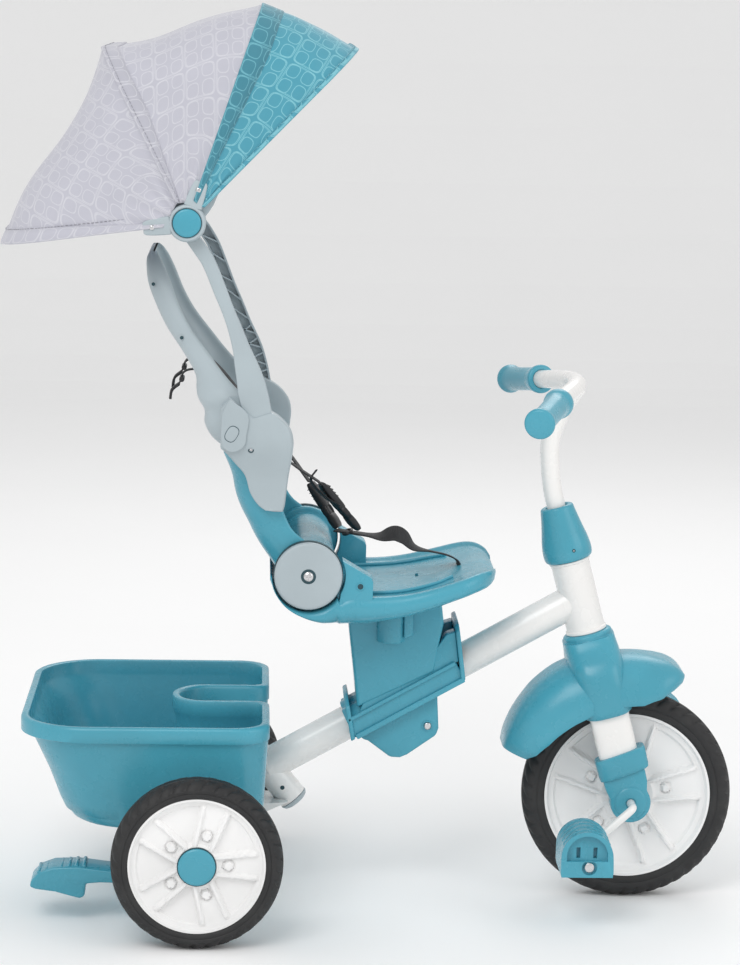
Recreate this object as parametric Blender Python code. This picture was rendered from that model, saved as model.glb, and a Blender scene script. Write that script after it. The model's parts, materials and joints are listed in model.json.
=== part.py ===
"""A child's tricycle with a reclining seat, folding canopy, tipping basket and pedals on the front wheel.

Metres. +X is forward, +Y is the rider's left, +Z is up, and the tyres stand on z = 0.
Outlines are written in the trike's working frame; an empty then puts x = 0 at the middle of its length.
"""

from math import cos, pi, radians, sin, tan

import bmesh
import bpy
from mathutils import Vector

GAP = 0.0003  # between pieces that touch
CENTRE_X = 0.0041  # middle of the overall length, in the working frame

# Wheels and axles
REAR_AXLE_X = -0.190
WHEELBASE = 0.494
TRACK = 0.448  # between the middles of the rear tyres
REAR_TYRE_R = 0.0945
REAR_RIM_R = 0.0748
FRONT_TYRE_R = 0.1215
FRONT_RIM_R = 0.0958
TYRE_WIDTH = 0.042
TYRE_SHOULDER = 0.009
RIM_LIP = 0.006
RIM_WEB = 0.010
RIM_HUB_R = 0.0206
REAR_AXLE_R = 0.005
REAR_SEGMENTS = 32
FRONT_SEGMENTS = 40
CAP_THICK = 0.0035

# Frame
TUBE_R = 0.019
TUBE_HEIGHT_AT_ZERO = 0.2131
TUBE_RISE = radians(29.4)
HEAD_TUBE_R = 0.0222
HEAD_TUBE_FROM = 0.198  # along the steering axis from the front axle
HEAD_TUBE_LENGTH = 0.085
STEERER_R = 0.012
SLEEVE_R = 0.017
SLEEVE_BORE_R = 0.0135
SLEEVE_FOOT = (-0.083, 0.111)
SLEEVE_LEAN = radians(39.8)
SLEEVE_LENGTH = 0.130
AXLE_TUBE_R = 0.011
AXLE_TUBE_HALF = 0.180
STAY_SPREAD = 0.030

# Steering and fork
RAKE = radians(14.9)
FORK_INSIDE = 0.032
FORK_OUTSIDE = 0.056
FORK_WIDTH = 0.046
FORK_FOOT = 0.052
FORK_TOP = 0.155
FORK_CROWN = 0.018
FENDER_R = 0.1715
FENDER_HALF_WIDTH = 0.0615
FENDER_WALL = 0.003
FENDER_SKIRT_R = 0.122
DROPOUT_R = 0.023
CRANK_LENGTH = 0.0736
CRANK_R = 0.0045
CRANK_ANGLE = radians(218.2)
CRANK_SIDE = 0.075
PEDAL_INSIDE = 0.104
PEDAL_OUTSIDE = 0.170
PEDAL_HALF = 0.030
COVER_LENGTH = 0.064
BAR_R = 0.0105
GRIP_R = 0.0140
GRIP_FLANGE_R = 0.0172
GRIP_LENGTH = 0.098
GRIP_END_Y = 0.205

# Seat
SEAT_HALF_WIDTH = 0.135
PEDESTAL_HALF_WIDTH = 0.045
SADDLE_HALF_WIDTH = 0.047
SADDLE_SEAT = 0.024  # the saddle's top above the tube's centre line
BACK_PIVOT = (-0.0713, 0.3967)
BACK_HUB_R = 0.0380
DISC_R = 0.0390
DISC_THICK = 0.0130
BACK_HUB_HALF = 0.1255
SCREW_R = 0.0030
WALL = 0.006

# Canopy
CANOPY_PIVOT = (-0.2082, 0.7873)
CANOPY_HALF_WIDTH = 0.1680
CANOPY_CORNER = 0.060
CLOTH = 0.002
BOW_WIDTH = 0.011
BOW_THICK = 0.002
BOW_DROP = 0.0062  # the cloth runs straight from bow to bow, so it dips inside the next one
HINGE_R = 0.0206
HINGE_CAP_R = 0.0155
HINGE_PIN_R = 0.0025
ARM_INSIDE = 0.1405
ARM_THICK = 0.0100

# Basket
BASKET_FRONT_X = -0.112
BASKET_REAR_X = -0.390
BASKET_HALF_WIDTH = 0.185
BASKET_TOP_Z = 0.234
BASKET_FLOOR_Z = 0.112
BASKET_WALL = 0.004
BASKET_RIM_HEIGHT = 0.018
BASKET_RIM_OUT = 0.005
SLOT_HALF_WIDTH = 0.038
SLOT_END_X = -0.215
SLOT_DRAFT = 0.05  # share of the side walls' taper

# Foot brake
BRAKE_PIVOT = (-0.165, 0.070)
BRAKE_Y = -0.115
BRAKE_HALF = 0.022
BRAKE_PIN_R = 0.004

TEAL = (0.070, 0.354, 0.462)
GREY = (0.42, 0.48, 0.51)
WHITE = (0.86, 0.84, 0.82)
RUBBER = (0.028, 0.028, 0.030)
STEEL = (0.60, 0.60, 0.61)
CLOTH_GREY = (0.52, 0.52, 0.58)
BLACK = (0.015, 0.015, 0.016)

X_AXIS = Vector((1, 0, 0))
Y_AXIS = Vector((0, 1, 0))
Z_AXIS = Vector((0, 0, 1))
MATERIALS = {}


def paint(kind):
    """One material for each finish; metals are the only metallic ones."""
    colour, roughness, metallic = {
        "teal": (TEAL, 0.35, 0.0),
        "grey": (GREY, 0.45, 0.0),
        "white": (WHITE, 0.25, 0.0),
        "rubber": (RUBBER, 0.7, 0.0),
        "steel": (STEEL, 0.25, 1.0),
        "cloth_teal": (TEAL, 0.9, 0.0),
        "cloth_grey": (CLOTH_GREY, 0.9, 0.0),
        "webbing": (BLACK, 0.85, 0.0),
        "black": (BLACK, 0.4, 0.0),
    }[kind]
    material = bpy.data.materials.new(kind)
    material.use_nodes = True
    shader = material.node_tree.nodes["Principled BSDF"]
    shader.inputs["Base Color"].default_value = (*colour, 1)
    shader.inputs["Roughness"].default_value = roughness
    shader.inputs["Metallic"].default_value = metallic
    return material


def point(pair, y=0.0):
    """A point from its (x, z) pair."""
    return Vector((pair[0], y, pair[1]))


def make(name, loops, kind, origin=(0, 0, 0), closed=False):
    """One solid skinned over loops of points; closed joins the last loop to the first, else the ends are capped."""
    mesh_edit = bmesh.new()
    rows = []
    for loop in loops:
        if len(loop) == 1:
            rows.append([mesh_edit.verts.new(loop[0])])
        else:
            rows.append([mesh_edit.verts.new(p) for p in loop])
    pairs = list(zip(rows, rows[1:]))
    if closed:
        pairs.append((rows[-1], rows[0]))
    for low, high in pairs:
        count = max(len(low), len(high))
        for k in range(count):
            n = (k + 1) % count
            if len(low) == 1:
                mesh_edit.faces.new((low[0], high[n], high[k]))
            elif len(high) == 1:
                mesh_edit.faces.new((low[k], low[n], high[0]))
            else:
                mesh_edit.faces.new((low[k], low[n], high[n], high[k]))
    if not closed:
        for row in (rows[0], rows[-1]):
            if len(row) > 2:
                mesh_edit.faces.new(row)
    bmesh.ops.recalc_face_normals(mesh_edit, faces=mesh_edit.faces)
    bmesh.ops.translate(mesh_edit, verts=mesh_edit.verts, vec=-Vector(origin))
    mesh = bpy.data.meshes.new(name)
    mesh_edit.to_mesh(mesh)
    mesh_edit.free()
    mesh.shade_smooth()
    mesh.set_sharp_from_angle(angle=radians(35))
    if kind not in MATERIALS:
        MATERIALS[kind] = paint(kind)
    mesh.materials.append(MATERIALS[kind])
    solid = bpy.data.objects.new(name, mesh)
    solid.location = origin
    solid.parent = TRIKE
    bpy.context.scene.collection.objects.link(solid)
    return solid


def combine(solid, tool, operation):
    """A Boolean with another object, which is then only a guide."""
    step = solid.modifiers.new(operation.lower(), "BOOLEAN")
    step.operation = operation
    step.object = tool
    step.solver = "EXACT"
    tool.hide_render = True
    tool.display_type = "WIRE"
    return solid


def cross_axes(axis):
    """Two directions at right angles to an axis; about Y the first points down, so a facet can face the floor."""
    axis = axis.normalized()
    first = -Z_AXIS if abs(axis.z) < 0.9 else X_AXIS
    first = (first - axis * first.dot(axis)).normalized()
    return first, axis.cross(first)


def turned_loops(profile, centre, axis, segments):
    first, second = cross_axes(axis)
    axis = axis.normalized()
    loops = []
    for radius, height in profile:
        middle = centre + axis * height
        if radius == 0:
            loops.append([middle])
            continue
        turn = [(k + 0.5) * 2 * pi / segments for k in range(segments)]
        loops.append([middle + (first * cos(a) + second * sin(a)) * radius for a in turn])
    return loops


def turned(name, profile, centre, axis, kind, segments=16, origin=(0, 0, 0), ring=False):
    """A lathe-turned solid from (radius, height) pairs; ring means the profile closes on itself round a bore."""
    loops = turned_loops(profile, Vector(centre), Vector(axis), segments)
    return make(name, loops, kind, origin, closed=ring)


def rod(name, start, end, radius, kind, segments=12, origin=(0, 0, 0)):
    start, end = Vector(start), Vector(end)
    profile = [(radius, 0), (radius, (end - start).length)]
    return turned(name, profile, start, end - start, kind, segments, origin)


def bore_for(radius, segments):
    """The corner radius of a faceted bore that clears a round piece by the gap."""
    return (radius + GAP) / cos(pi / segments)


def drill(solid, start, end, radius, segments=16):
    """Cuts a round hole that clears a rod of this radius."""
    cutter = rod(solid.name + "_drill", start, end, bore_for(radius, segments), "steel", segments)
    return combine(solid, cutter, "DIFFERENCE")


def prism(name, outline, low_y, high_y, kind, origin=(0, 0, 0)):
    """A side outline of (x, z) pairs given thickness from low_y to high_y."""
    loops = [[point(pair, y) for pair in outline] for y in (low_y, high_y)]
    return make(name, loops, kind, origin)


def slab(name, outline, corner, across, along, through, kind, origin=(0, 0, 0)):
    """An outline in the plane of two directions, given thickness along a third vector."""
    low = [corner + across * a + along * b for a, b in outline]
    return make(name, [low, [p + through for p in low]], kind, origin)


def sweep(name, path, section, side, kind, origin=(0, 0, 0)):
    """A section of (sideways, upward) offsets carried along a path, its sideways direction held near side."""
    path = [Vector(p) for p in path]
    loops = []
    for k, here in enumerate(path):
        ahead = path[min(k + 1, len(path) - 1)] - here
        behind = here - path[max(k - 1, 0)]
        run = (ahead.normalized() + behind.normalized()).normalized()
        lateral = (Vector(side) - run * run.dot(Vector(side))).normalized()
        upward = run.cross(lateral)
        loops.append([here + lateral * a + upward * b for a, b in section])
    return make(name, loops, kind, origin)


def disc_section(radius, count):
    return [(radius * cos(k * 2 * pi / count), radius * sin(k * 2 * pi / count)) for k in range(count)]


def strap_section(width, thickness):
    a, b = width / 2, thickness / 2
    return [(-a, -b), (a, -b), (a, b), (-a, b)]


def arc(centre, radius, start, end, count):
    """Points on an arc in degrees, both ends included."""
    angles = [radians(start + (end - start) * k / (count - 1)) for k in range(count)]
    return [(centre[0] + radius * cos(a), centre[1] + radius * sin(a)) for a in angles]


def both_sides():
    """The rider's right side, at -Y, then the left."""
    return (("right", -1), ("left", 1))


def clear_scene():
    for thing in list(bpy.data.objects):
        bpy.data.objects.remove(thing, do_unlink=True)


def steer(along, forward=0.0, y=0.0):
    """A point at a height along the steering axis and a distance in front of it."""
    return FRONT_AXLE + STEER_UP * along + STEER_FORWARD * forward + Y_AXIS * y


def tube_point(along, above):
    """(x, z) of a point in the main tube's own directions."""
    x = along * cos(TUBE_RISE) - above * sin(TUBE_RISE)
    return x, TUBE_HEIGHT_AT_ZERO + along * sin(TUBE_RISE) + above * cos(TUBE_RISE)


def meets_tube(start, direction):
    """Where a line in the middle plane crosses the main tube's centre line."""
    slope = tan(TUBE_RISE)
    share = (TUBE_HEIGHT_AT_ZERO + slope * start.x - start.z) / (direction.z - slope * direction.x)
    return start + direction * share


# Frame -----------------------------------------------------------------------

def build_frame():
    foot = point(SLEEVE_FOOT)
    lean = Vector((-sin(SLEEVE_LEAN), 0, cos(SLEEVE_LEAN)))
    tube = rod("main_tube", meets_tube(foot, lean), meets_tube(FRONT_AXLE, STEER_UP), TUBE_R, "white", 16)
    drill(tube, foot - lean * 0.05, foot + lean * 0.2, SLEEVE_R)
    drill(tube, steer(HEAD_TUBE_FROM - 0.05), steer(HEAD_TUBE_FROM + 0.15), HEAD_TUBE_R)
    ring = [(STEERER_R + GAP * 2, 0), (HEAD_TUBE_R, 0), (HEAD_TUBE_R, HEAD_TUBE_LENGTH),
            (STEERER_R + GAP * 2, HEAD_TUBE_LENGTH)]
    turned("head_tube", ring, steer(HEAD_TUBE_FROM), STEER_UP, "white", 20, ring=True)
    ring = [(SLEEVE_BORE_R, 0), (SLEEVE_R, 0), (SLEEVE_R, SLEEVE_LENGTH), (SLEEVE_BORE_R, SLEEVE_LENGTH)]
    turned("push_handle_sleeve", ring, foot, lean, "white", 20, ring=True)
    cap = [(0, -0.006), (SLEEVE_R * 0.8, -0.006), (SLEEVE_R, -0.003), (SLEEVE_R, -GAP), (0, -GAP)]
    turned("sleeve_end_cap", cap, foot, lean, "grey", 20)
    y = TRACK / 2 + TYRE_WIDTH / 2 - 0.001
    rod("rear_axle", (REAR_AXLE_X, -y, REAR_AXLE_Z), (REAR_AXLE_X, y, REAR_AXLE_Z), REAR_AXLE_R, "steel",
        12)
    sleeve_low = foot + lean * 0.010
    plate = [(REAR_AXLE_X - 0.012, REAR_AXLE_Z - 0.010), (REAR_AXLE_X + 0.03, REAR_AXLE_Z - 0.014),
             (sleeve_low.x, sleeve_low.z - 0.006), (sleeve_low.x - 0.02, BASKET_FLOOR_Z - 0.001),
             (REAR_AXLE_X - 0.012, BASKET_FLOOR_Z - 0.001)]
    stay = prism("rear_axle_carrier", plate, -STAY_SPREAD, STAY_SPREAD, "white")
    tube = rod("axle_tube", (REAR_AXLE_X, -AXLE_TUBE_HALF, REAR_AXLE_Z),
               (REAR_AXLE_X, AXLE_TUBE_HALF, REAR_AXLE_Z),
               AXLE_TUBE_R, "white", 12)
    combine(stay, tube, "UNION")
    for ear in brake_ears():
        combine(stay, ear, "UNION")
    drill(stay, (REAR_AXLE_X, -0.3, REAR_AXLE_Z), (REAR_AXLE_X, 0.3, REAR_AXLE_Z), REAR_AXLE_R)
    drill(stay, foot - lean * 0.05, foot + lean * 0.2, SLEEVE_R, 20)


def basket_outline(inset, shrink=0.0):
    """Half of the basket's plan from the slot to the rear, then its mirror: (x, y) pairs, walls inset inward."""
    front = BASKET_FRONT_X - inset - shrink * 0.25
    rear = BASKET_REAR_X + inset + shrink * 2
    half = BASKET_HALF_WIDTH - inset - shrink
    slot = SLOT_HALF_WIDTH + inset + shrink * SLOT_DRAFT
    end = SLOT_END_X - inset - shrink * SLOT_DRAFT
    big, small = 0.075 - inset, 0.030
    side = arc((end + slot * 0.8, 0), slot * 0.8, 180, 120, 4)
    side = [(x, y / (sin(radians(60)) * 0.8) if k == 3 else y) for k, (x, y) in enumerate(side)]
    side += [(front, slot)]
    side += arc((front - small, half - small), small, 0, 90, 4)
    side += arc((rear + big, half - big), big, 90, 180, 6)
    mirrored = [(x, -y) for x, y in reversed(side) if abs(y) > 1e-9]
    return side + mirrored


def build_basket():
    taper = 0.028

    def level(inset, shrink, z):
        return [Vector((x, y, z)) for x, y in basket_outline(inset, shrink)]

    lip_z = BASKET_TOP_Z - BASKET_RIM_HEIGHT
    loops = [level(0, taper, BASKET_FLOOR_Z), level(0, BASKET_RIM_OUT, lip_z), level(0, 0, lip_z),
             level(0, 0, BASKET_TOP_Z), level(BASKET_WALL + BASKET_RIM_OUT, 0, BASKET_TOP_Z),
             level(BASKET_WALL, taper, BASKET_FLOOR_Z + BASKET_WALL)]
    make("basket", loops, "teal")


def brake_ears():
    """Two ears welded under the axle tube, which hold the foot brake's pin."""
    x, z = BRAKE_PIVOT
    outline = [(x - 0.012, z - 0.010), (x + 0.012, z - 0.010), (REAR_AXLE_X + 0.020, REAR_AXLE_Z + 0.002),
               (REAR_AXLE_X + 0.004, REAR_AXLE_Z + 0.006), (REAR_AXLE_X - 0.004, REAR_AXLE_Z - 0.006)]
    ears = []
    for name, s in both_sides():
        low, high = sorted((BRAKE_Y + s * (BRAKE_HALF + 0.0005), BRAKE_Y + s * (BRAKE_HALF + 0.0035)))
        ears.append(prism("brake_ear_" + name, outline, low, high, "white"))
    return ears


def build_brake():
    x, z = BRAKE_PIVOT
    outline = [(x + 0.010, z - 0.008), (x + 0.008, z + 0.008), (x - 0.010, z + 0.009), (-0.250, 0.058),
               (-0.290, 0.057),
               (-0.326, 0.062), (-0.368, 0.056), (-0.378, 0.042), (-0.350, 0.034), (-0.320, 0.026),
               (-0.316, 0.046), (-0.290, 0.044), (x - 0.010, z - 0.010)]
    lever = prism("brake_lever", outline, BRAKE_Y - BRAKE_HALF, BRAKE_Y + BRAKE_HALF, "teal",
                  point(BRAKE_PIVOT, BRAKE_Y))
    pin_from = point(BRAKE_PIVOT, BRAKE_Y - BRAKE_HALF - 0.006)
    pin_to = point(BRAKE_PIVOT, BRAKE_Y + BRAKE_HALF + 0.006)
    rod("brake_pin", pin_from, pin_to, BRAKE_PIN_R, "steel", 12)
    drill(lever, pin_from, pin_to, BRAKE_PIN_R)
    drill(bpy.data.objects["rear_axle_carrier"], pin_from, pin_to, BRAKE_PIN_R)


# Seat ------------------------------------------------------------------------

SEAT_BOTTOM = [(-0.091, 0.344), (-0.057, 0.325), (-0.024, 0.320), (0.032, 0.329), (0.076, 0.342),
               (0.120, 0.366)]


def build_seat():
    cradle = arc(BACK_PIVOT, BACK_HUB_R + 0.0025, 205, 360, 12)
    outline = [(-0.122, 0.372)] + SEAT_BOTTOM + [(0.142, 0.384), (0.143, 0.396), (0.130, 0.405),
                                                 (0.100, 0.402),
                                                 (0.040, 0.390), (-0.010, 0.394), (-0.024, 0.406)]
    outline += list(reversed(cradle))
    prism("seat_base", outline, -SEAT_HALF_WIDTH, SEAT_HALF_WIDTH, "teal")
    under = [(x, z - GAP * 2) for x, z in SEAT_BOTTOM[2:5]]
    rest = [tube_point(a, SADDLE_SEAT + GAP * 2) for a in (0.004, 0.112)]
    pedestal = [(-0.041, 0.3213)] + under + [(0.074, 0.300), rest[1], rest[0], (-0.030, 0.262)]
    prism("seat_pedestal", pedestal, -PEDESTAL_HALF_WIDTH, PEDESTAL_HALF_WIDTH, "teal")
    rear_lip, front_lip = (-0.0257, 0.0), (0.1234, 0.0)
    saddle = [tube_point(*p) for p in ((rear_lip[0], -0.011), (front_lip[0], -0.011), (0.144, 0.044),
                                       (0.134, 0.046), (0.1135, SADDLE_SEAT), (0.003, SADDLE_SEAT),
                                       (-0.004, 0.030), (-0.013, 0.030))]
    solid = prism("seat_saddle", saddle, -SADDLE_HALF_WIDTH, SADDLE_HALF_WIDTH, "teal")
    tube_low, tube_high = point(tube_point(-0.2, 0)), point(tube_point(0.4, 0))
    drill(solid, tube_low, tube_high, TUBE_R)
    clamp = [tube_point(*p) for p in ((-0.018, -0.0114), (0.110, -0.0114), (0.085, -0.034), (0.070, -0.038),
                                      (0.020, -0.042), (-0.001, -0.040), (-0.016, -0.020))]
    solid = prism("saddle_clamp", clamp, -0.034, 0.034, "teal")
    drill(solid, tube_low, tube_high, TUBE_R)
    bolt_at = tube_point(0.066, -0.0275)
    drill(solid, point(bolt_at, -0.1), point(bolt_at, 0.1), 0.003, 8)
    head = 0.034 + GAP
    turned("clamp_bolt", [(0, 0), (0.005, 0), (0.006, 0.003), (0.003, 0.003), (0.003, 2 * head + 0.004),
                          (0, 2 * head + 0.004)],
           point(bolt_at, -head - 0.003), Y_AXIS, "steel", 8)


LOWER_BACK = [  # height, rear x, front x of the side walls
    (0.402, -0.110, -0.056), (0.425, -0.127, -0.066), (0.447, -0.139, -0.089), (0.470, -0.149, -0.120),
    (0.482, -0.153, -0.1345), (0.504, -0.160, -0.1435), (0.521, -0.168, -0.1575), (0.532, -0.174, -0.1665)]
UPPER_BACK = [  # height, rear x, front x, half width
    (0.470, -0.1192, -0.0995, 0.139), (0.482, -0.1340, -0.097, 0.139), (0.504, -0.1430, -0.0935, 0.139),
    (0.521, -0.1570, -0.0918, 0.139), (0.532, -0.1660, -0.091, 0.139), (0.545, -0.182, -0.090, 0.139),
    (0.562, -0.187, -0.094, 0.139), (0.577, -0.192, -0.112, 0.139), (0.592, -0.198, -0.135, 0.137),
    (0.609, -0.199, -0.157, 0.132), (0.640, -0.212, -0.184, 0.125), (0.690, -0.243, -0.212, 0.112),
    (0.735, -0.252, -0.226, 0.098), (0.750, -0.249, -0.233, 0.090)]


def channel(height, rear, front, half, wall=WALL):
    """A level U section, open forward, with rounded rear corners."""
    depth = front - rear
    corner = min(0.030, depth * 0.5)
    back = min(wall, depth * 0.6)
    outer = [(front, half)] + [(rear + corner + corner * cos(a), half - corner + corner * sin(a))
                               for a in (radians(90), radians(135), radians(180))]
    inner = [(front, half - wall)]
    inside = max(corner - wall, 0.001)
    centre_x = rear + back + inside
    centre_y = half - wall - inside
    inner += [(centre_x + inside * cos(a),
               centre_y + inside * sin(a)) for a in (radians(90), radians(135), radians(180))]
    path = outer + [(x, -y) for x, y in reversed(outer)] + [(x, -y) for x,
                                                            y in inner] + list(reversed(inner))
    return [Vector((x, y, height)) for x, y in path]


def build_back():
    pivot = point(BACK_PIVOT)
    loops = [channel(z, rear, front, BACK_HUB_HALF + (0.0035 if z > 0.46 else 0)) for z, rear,
             front in LOWER_BACK]
    lower = make("seat_back_lower", loops, "teal", pivot)
    hub = rod("back_hub", point(BACK_PIVOT, -BACK_HUB_HALF), point(BACK_PIVOT, BACK_HUB_HALF), BACK_HUB_R,
              "teal", 24)
    combine(lower, hub, "UNION")
    upper = make("seat_back_upper", [channel(*row) for row in UPPER_BACK], "grey", pivot)
    for side, s in both_sides():
        drill(lower, point(BACK_PIVOT, s * (BACK_HUB_HALF - 0.02)), point(BACK_PIVOT, s * 0.2), SCREW_R, 8)
        inner = s * (BACK_HUB_HALF + 0.0004)
        bore = bore_for(SCREW_R, 24)
        ring = [(bore, 0), (DISC_R, 0), (DISC_R, DISC_THICK - 0.003), (DISC_R - 0.004, DISC_THICK),
                (0.010, DISC_THICK), (0.009, DISC_THICK - 0.003), (bore, DISC_THICK - 0.003)]
        turned("recline_disc_" + side, ring, point(BACK_PIVOT, inner), Y_AXIS * s, "grey", 24, pivot,
               ring=True)
        foot = DISC_THICK - 0.003 + GAP
        screw = [(0, -0.018), (SCREW_R, -0.018), (SCREW_R, foot), (0.0075, foot), (0.0070, foot + 0.002),
                 (0, foot + 0.003)]
        turned("recline_screw_" + side, screw, point(BACK_PIVOT, inner), Y_AXIS * s, "steel", 8, pivot)
        build_button(side, s, upper)


def build_button(side, s, upper):
    """The oval catch that frees a canopy arm, sliding in a hole through the wing."""
    middle = Vector((-0.158, s * 0.1400, 0.556))
    tilt = (cos(radians(60)), sin(radians(60)))

    def oval(scale, y):
        ring = []
        for k in range(12):
            a, b = 0.0090 * scale * cos(k * pi / 6), 0.0065 * scale * sin(k * pi / 6)
            ring.append(middle + Vector((a * tilt[0] - b * tilt[1], s * y, a * tilt[1] + b * tilt[0])))
        return ring

    hole = make("button_hole_" + side, [oval(1.08, -0.020), oval(1.08, 0.020)], "grey")
    combine(upper, hole, "DIFFERENCE")
    make("release_button_" + side, [oval(1, -0.010), oval(1, 0.002), oval(0.85, 0.003)], "grey", middle)


# Canopy ----------------------------------------------------------------------

BOWS = [  # name, degrees above +X, reach, place in the hinge stack from the arm outwards
    ("front", 45.8, 0.2620, 2), ("middle", 71.7, 0.2485, 0), ("third", 117.0, 0.2075, 1),
        ("rear", 187.7, 0.2110, 3)]


def bow_profile(reach, half, start):
    """(y, distance from the pivot) up one side, over the top and down the other."""
    side = [(half, start), (half, reach - CANOPY_CORNER)]
    side += arc((half - CANOPY_CORNER, reach - CANOPY_CORNER), CANOPY_CORNER, 0, 90, 6)[1:]
    return side + [(-y, r) for y, r in reversed(side)]


def in_bow_plane(profile, degrees):
    out = Vector((cos(radians(degrees)), 0, sin(radians(degrees))))
    return [point(CANOPY_PIVOT, y) + out * r for y, r in profile]


def cloth_panel(name, first, second, kind):
    """Cloth stretched straight between two bows."""
    outer_inner = []
    for _, degrees, reach, _ in (first, second):
        outer = in_bow_plane(bow_profile(reach, CANOPY_HALF_WIDTH, 0.030), degrees)
        inner = in_bow_plane(bow_profile(reach - CLOTH, CANOPY_HALF_WIDTH - CLOTH, 0.030), degrees)
        outer_inner.append(outer + list(reversed(inner)))
    start, end = outer_inner
    loops = []
    for share in (0.003, 0.34, 0.67, 0.997):
        loops.append([a.lerp(b, share) for a, b in zip(start, end)])
    make(name, loops, kind, point(CANOPY_PIVOT))


def build_bow(name, degrees, reach, place):
    half = ARM_INSIDE + ARM_THICK + GAP + place * (BOW_THICK + GAP) + BOW_THICK
    top = reach - CLOTH - BOW_DROP
    out = Vector((cos(radians(degrees)), 0, sin(radians(degrees))))
    across = Vector((-out.z, 0, out.x))
    profile = bow_profile(top, half, -BOW_WIDTH / 2)
    inner = bow_profile(top - BOW_THICK, half - BOW_THICK, -BOW_WIDTH / 2)
    low = [point(CANOPY_PIVOT, y) + out * r - across * BOW_WIDTH / 2 for y,
           r in profile + list(reversed(inner))]
    bow = make("canopy_bow_" + name, [low, [p + across * BOW_WIDTH for p in low]], "grey",
               point(CANOPY_PIVOT))
    drill(bow, point(CANOPY_PIVOT, -0.3), point(CANOPY_PIVOT, 0.3), HINGE_PIN_R, 8)


ARM_REAR = [(-0.138, 0.574), (-0.157, 0.648), (-0.176, 0.701), (-0.218, 0.759)]
ARM_FRONT = [(-0.200, 0.768), (-0.157, 0.701), (-0.131, 0.649), (-0.1145, 0.581)]


def build_canopy():
    for bow in BOWS:
        build_bow(*bow)
    cloth_panel("canopy_cloth_front", BOWS[0], BOWS[1], "cloth_teal")
    cloth_panel("canopy_cloth_middle", BOWS[1], BOWS[2], "cloth_grey")
    cloth_panel("canopy_cloth_rear", BOWS[2], BOWS[3], "cloth_grey")
    pivot = point(CANOPY_PIVOT)
    stack = ARM_THICK + 4 * (BOW_THICK + GAP) + GAP
    for side, s in both_sides():
        head = arc(CANOPY_PIVOT, HINGE_R, 250, -60, 14)
        low, high = sorted((s * ARM_INSIDE, s * (ARM_INSIDE + ARM_THICK)))
        arm = prism("canopy_arm_" + side, ARM_REAR + head + ARM_FRONT, low, high, "grey", pivot)
        drill(arm, point(CANOPY_PIVOT, -0.3), point(CANOPY_PIVOT, 0.3), HINGE_PIN_R, 8)
        start = point(CANOPY_PIVOT, s * ARM_INSIDE)
        pin = [(0, 0), (HINGE_PIN_R, 0), (HINGE_PIN_R, stack + GAP), (HINGE_R, stack + GAP),
               (HINGE_R, stack + 0.0055), (0, stack + 0.0055)]
        turned("canopy_hinge_" + side, pin, start, Y_AXIS * s, "grey", 20, pivot)
        cap = [(0, stack + 0.0058), (HINGE_CAP_R, stack + 0.0058), (HINGE_CAP_R - 0.001, stack + 0.008),
               (0, stack + 0.008)]
        turned("hinge_cap_" + side, cap, start, Y_AXIS * s, "teal", 20, pivot)


# Harness ---------------------------------------------------------------------

def build_harness():
    strap = strap_section(0.018, 0.0015)
    for side, s in both_sides():
        path = [(-0.150, s * 0.055, 0.545), (-0.110, s * 0.052, 0.525), (-0.078, s * 0.040, 0.492),
                (-0.057, s * 0.030, 0.474)]
        sweep("shoulder_strap_" + side, path, strap, Y_AXIS, "webbing", point(BACK_PIVOT))
        path = [(-0.055, s * 0.029, 0.472), (-0.026, s * 0.016, 0.436)]
        sweep("buckle_" + side, path, strap_section(0.020, 0.009), Y_AXIS, "black", point(BACK_PIVOT))
    path = [(-0.022, 0, 0.431), (0.000, 0, 0.421), (0.035, 0, 0.425), (0.070, 0, 0.411), (0.094, 0, 0.4045)]
    sweep("crotch_strap", path, strap, Y_AXIS, "webbing")


# Steering and front wheel ----------------------------------------------------

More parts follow.
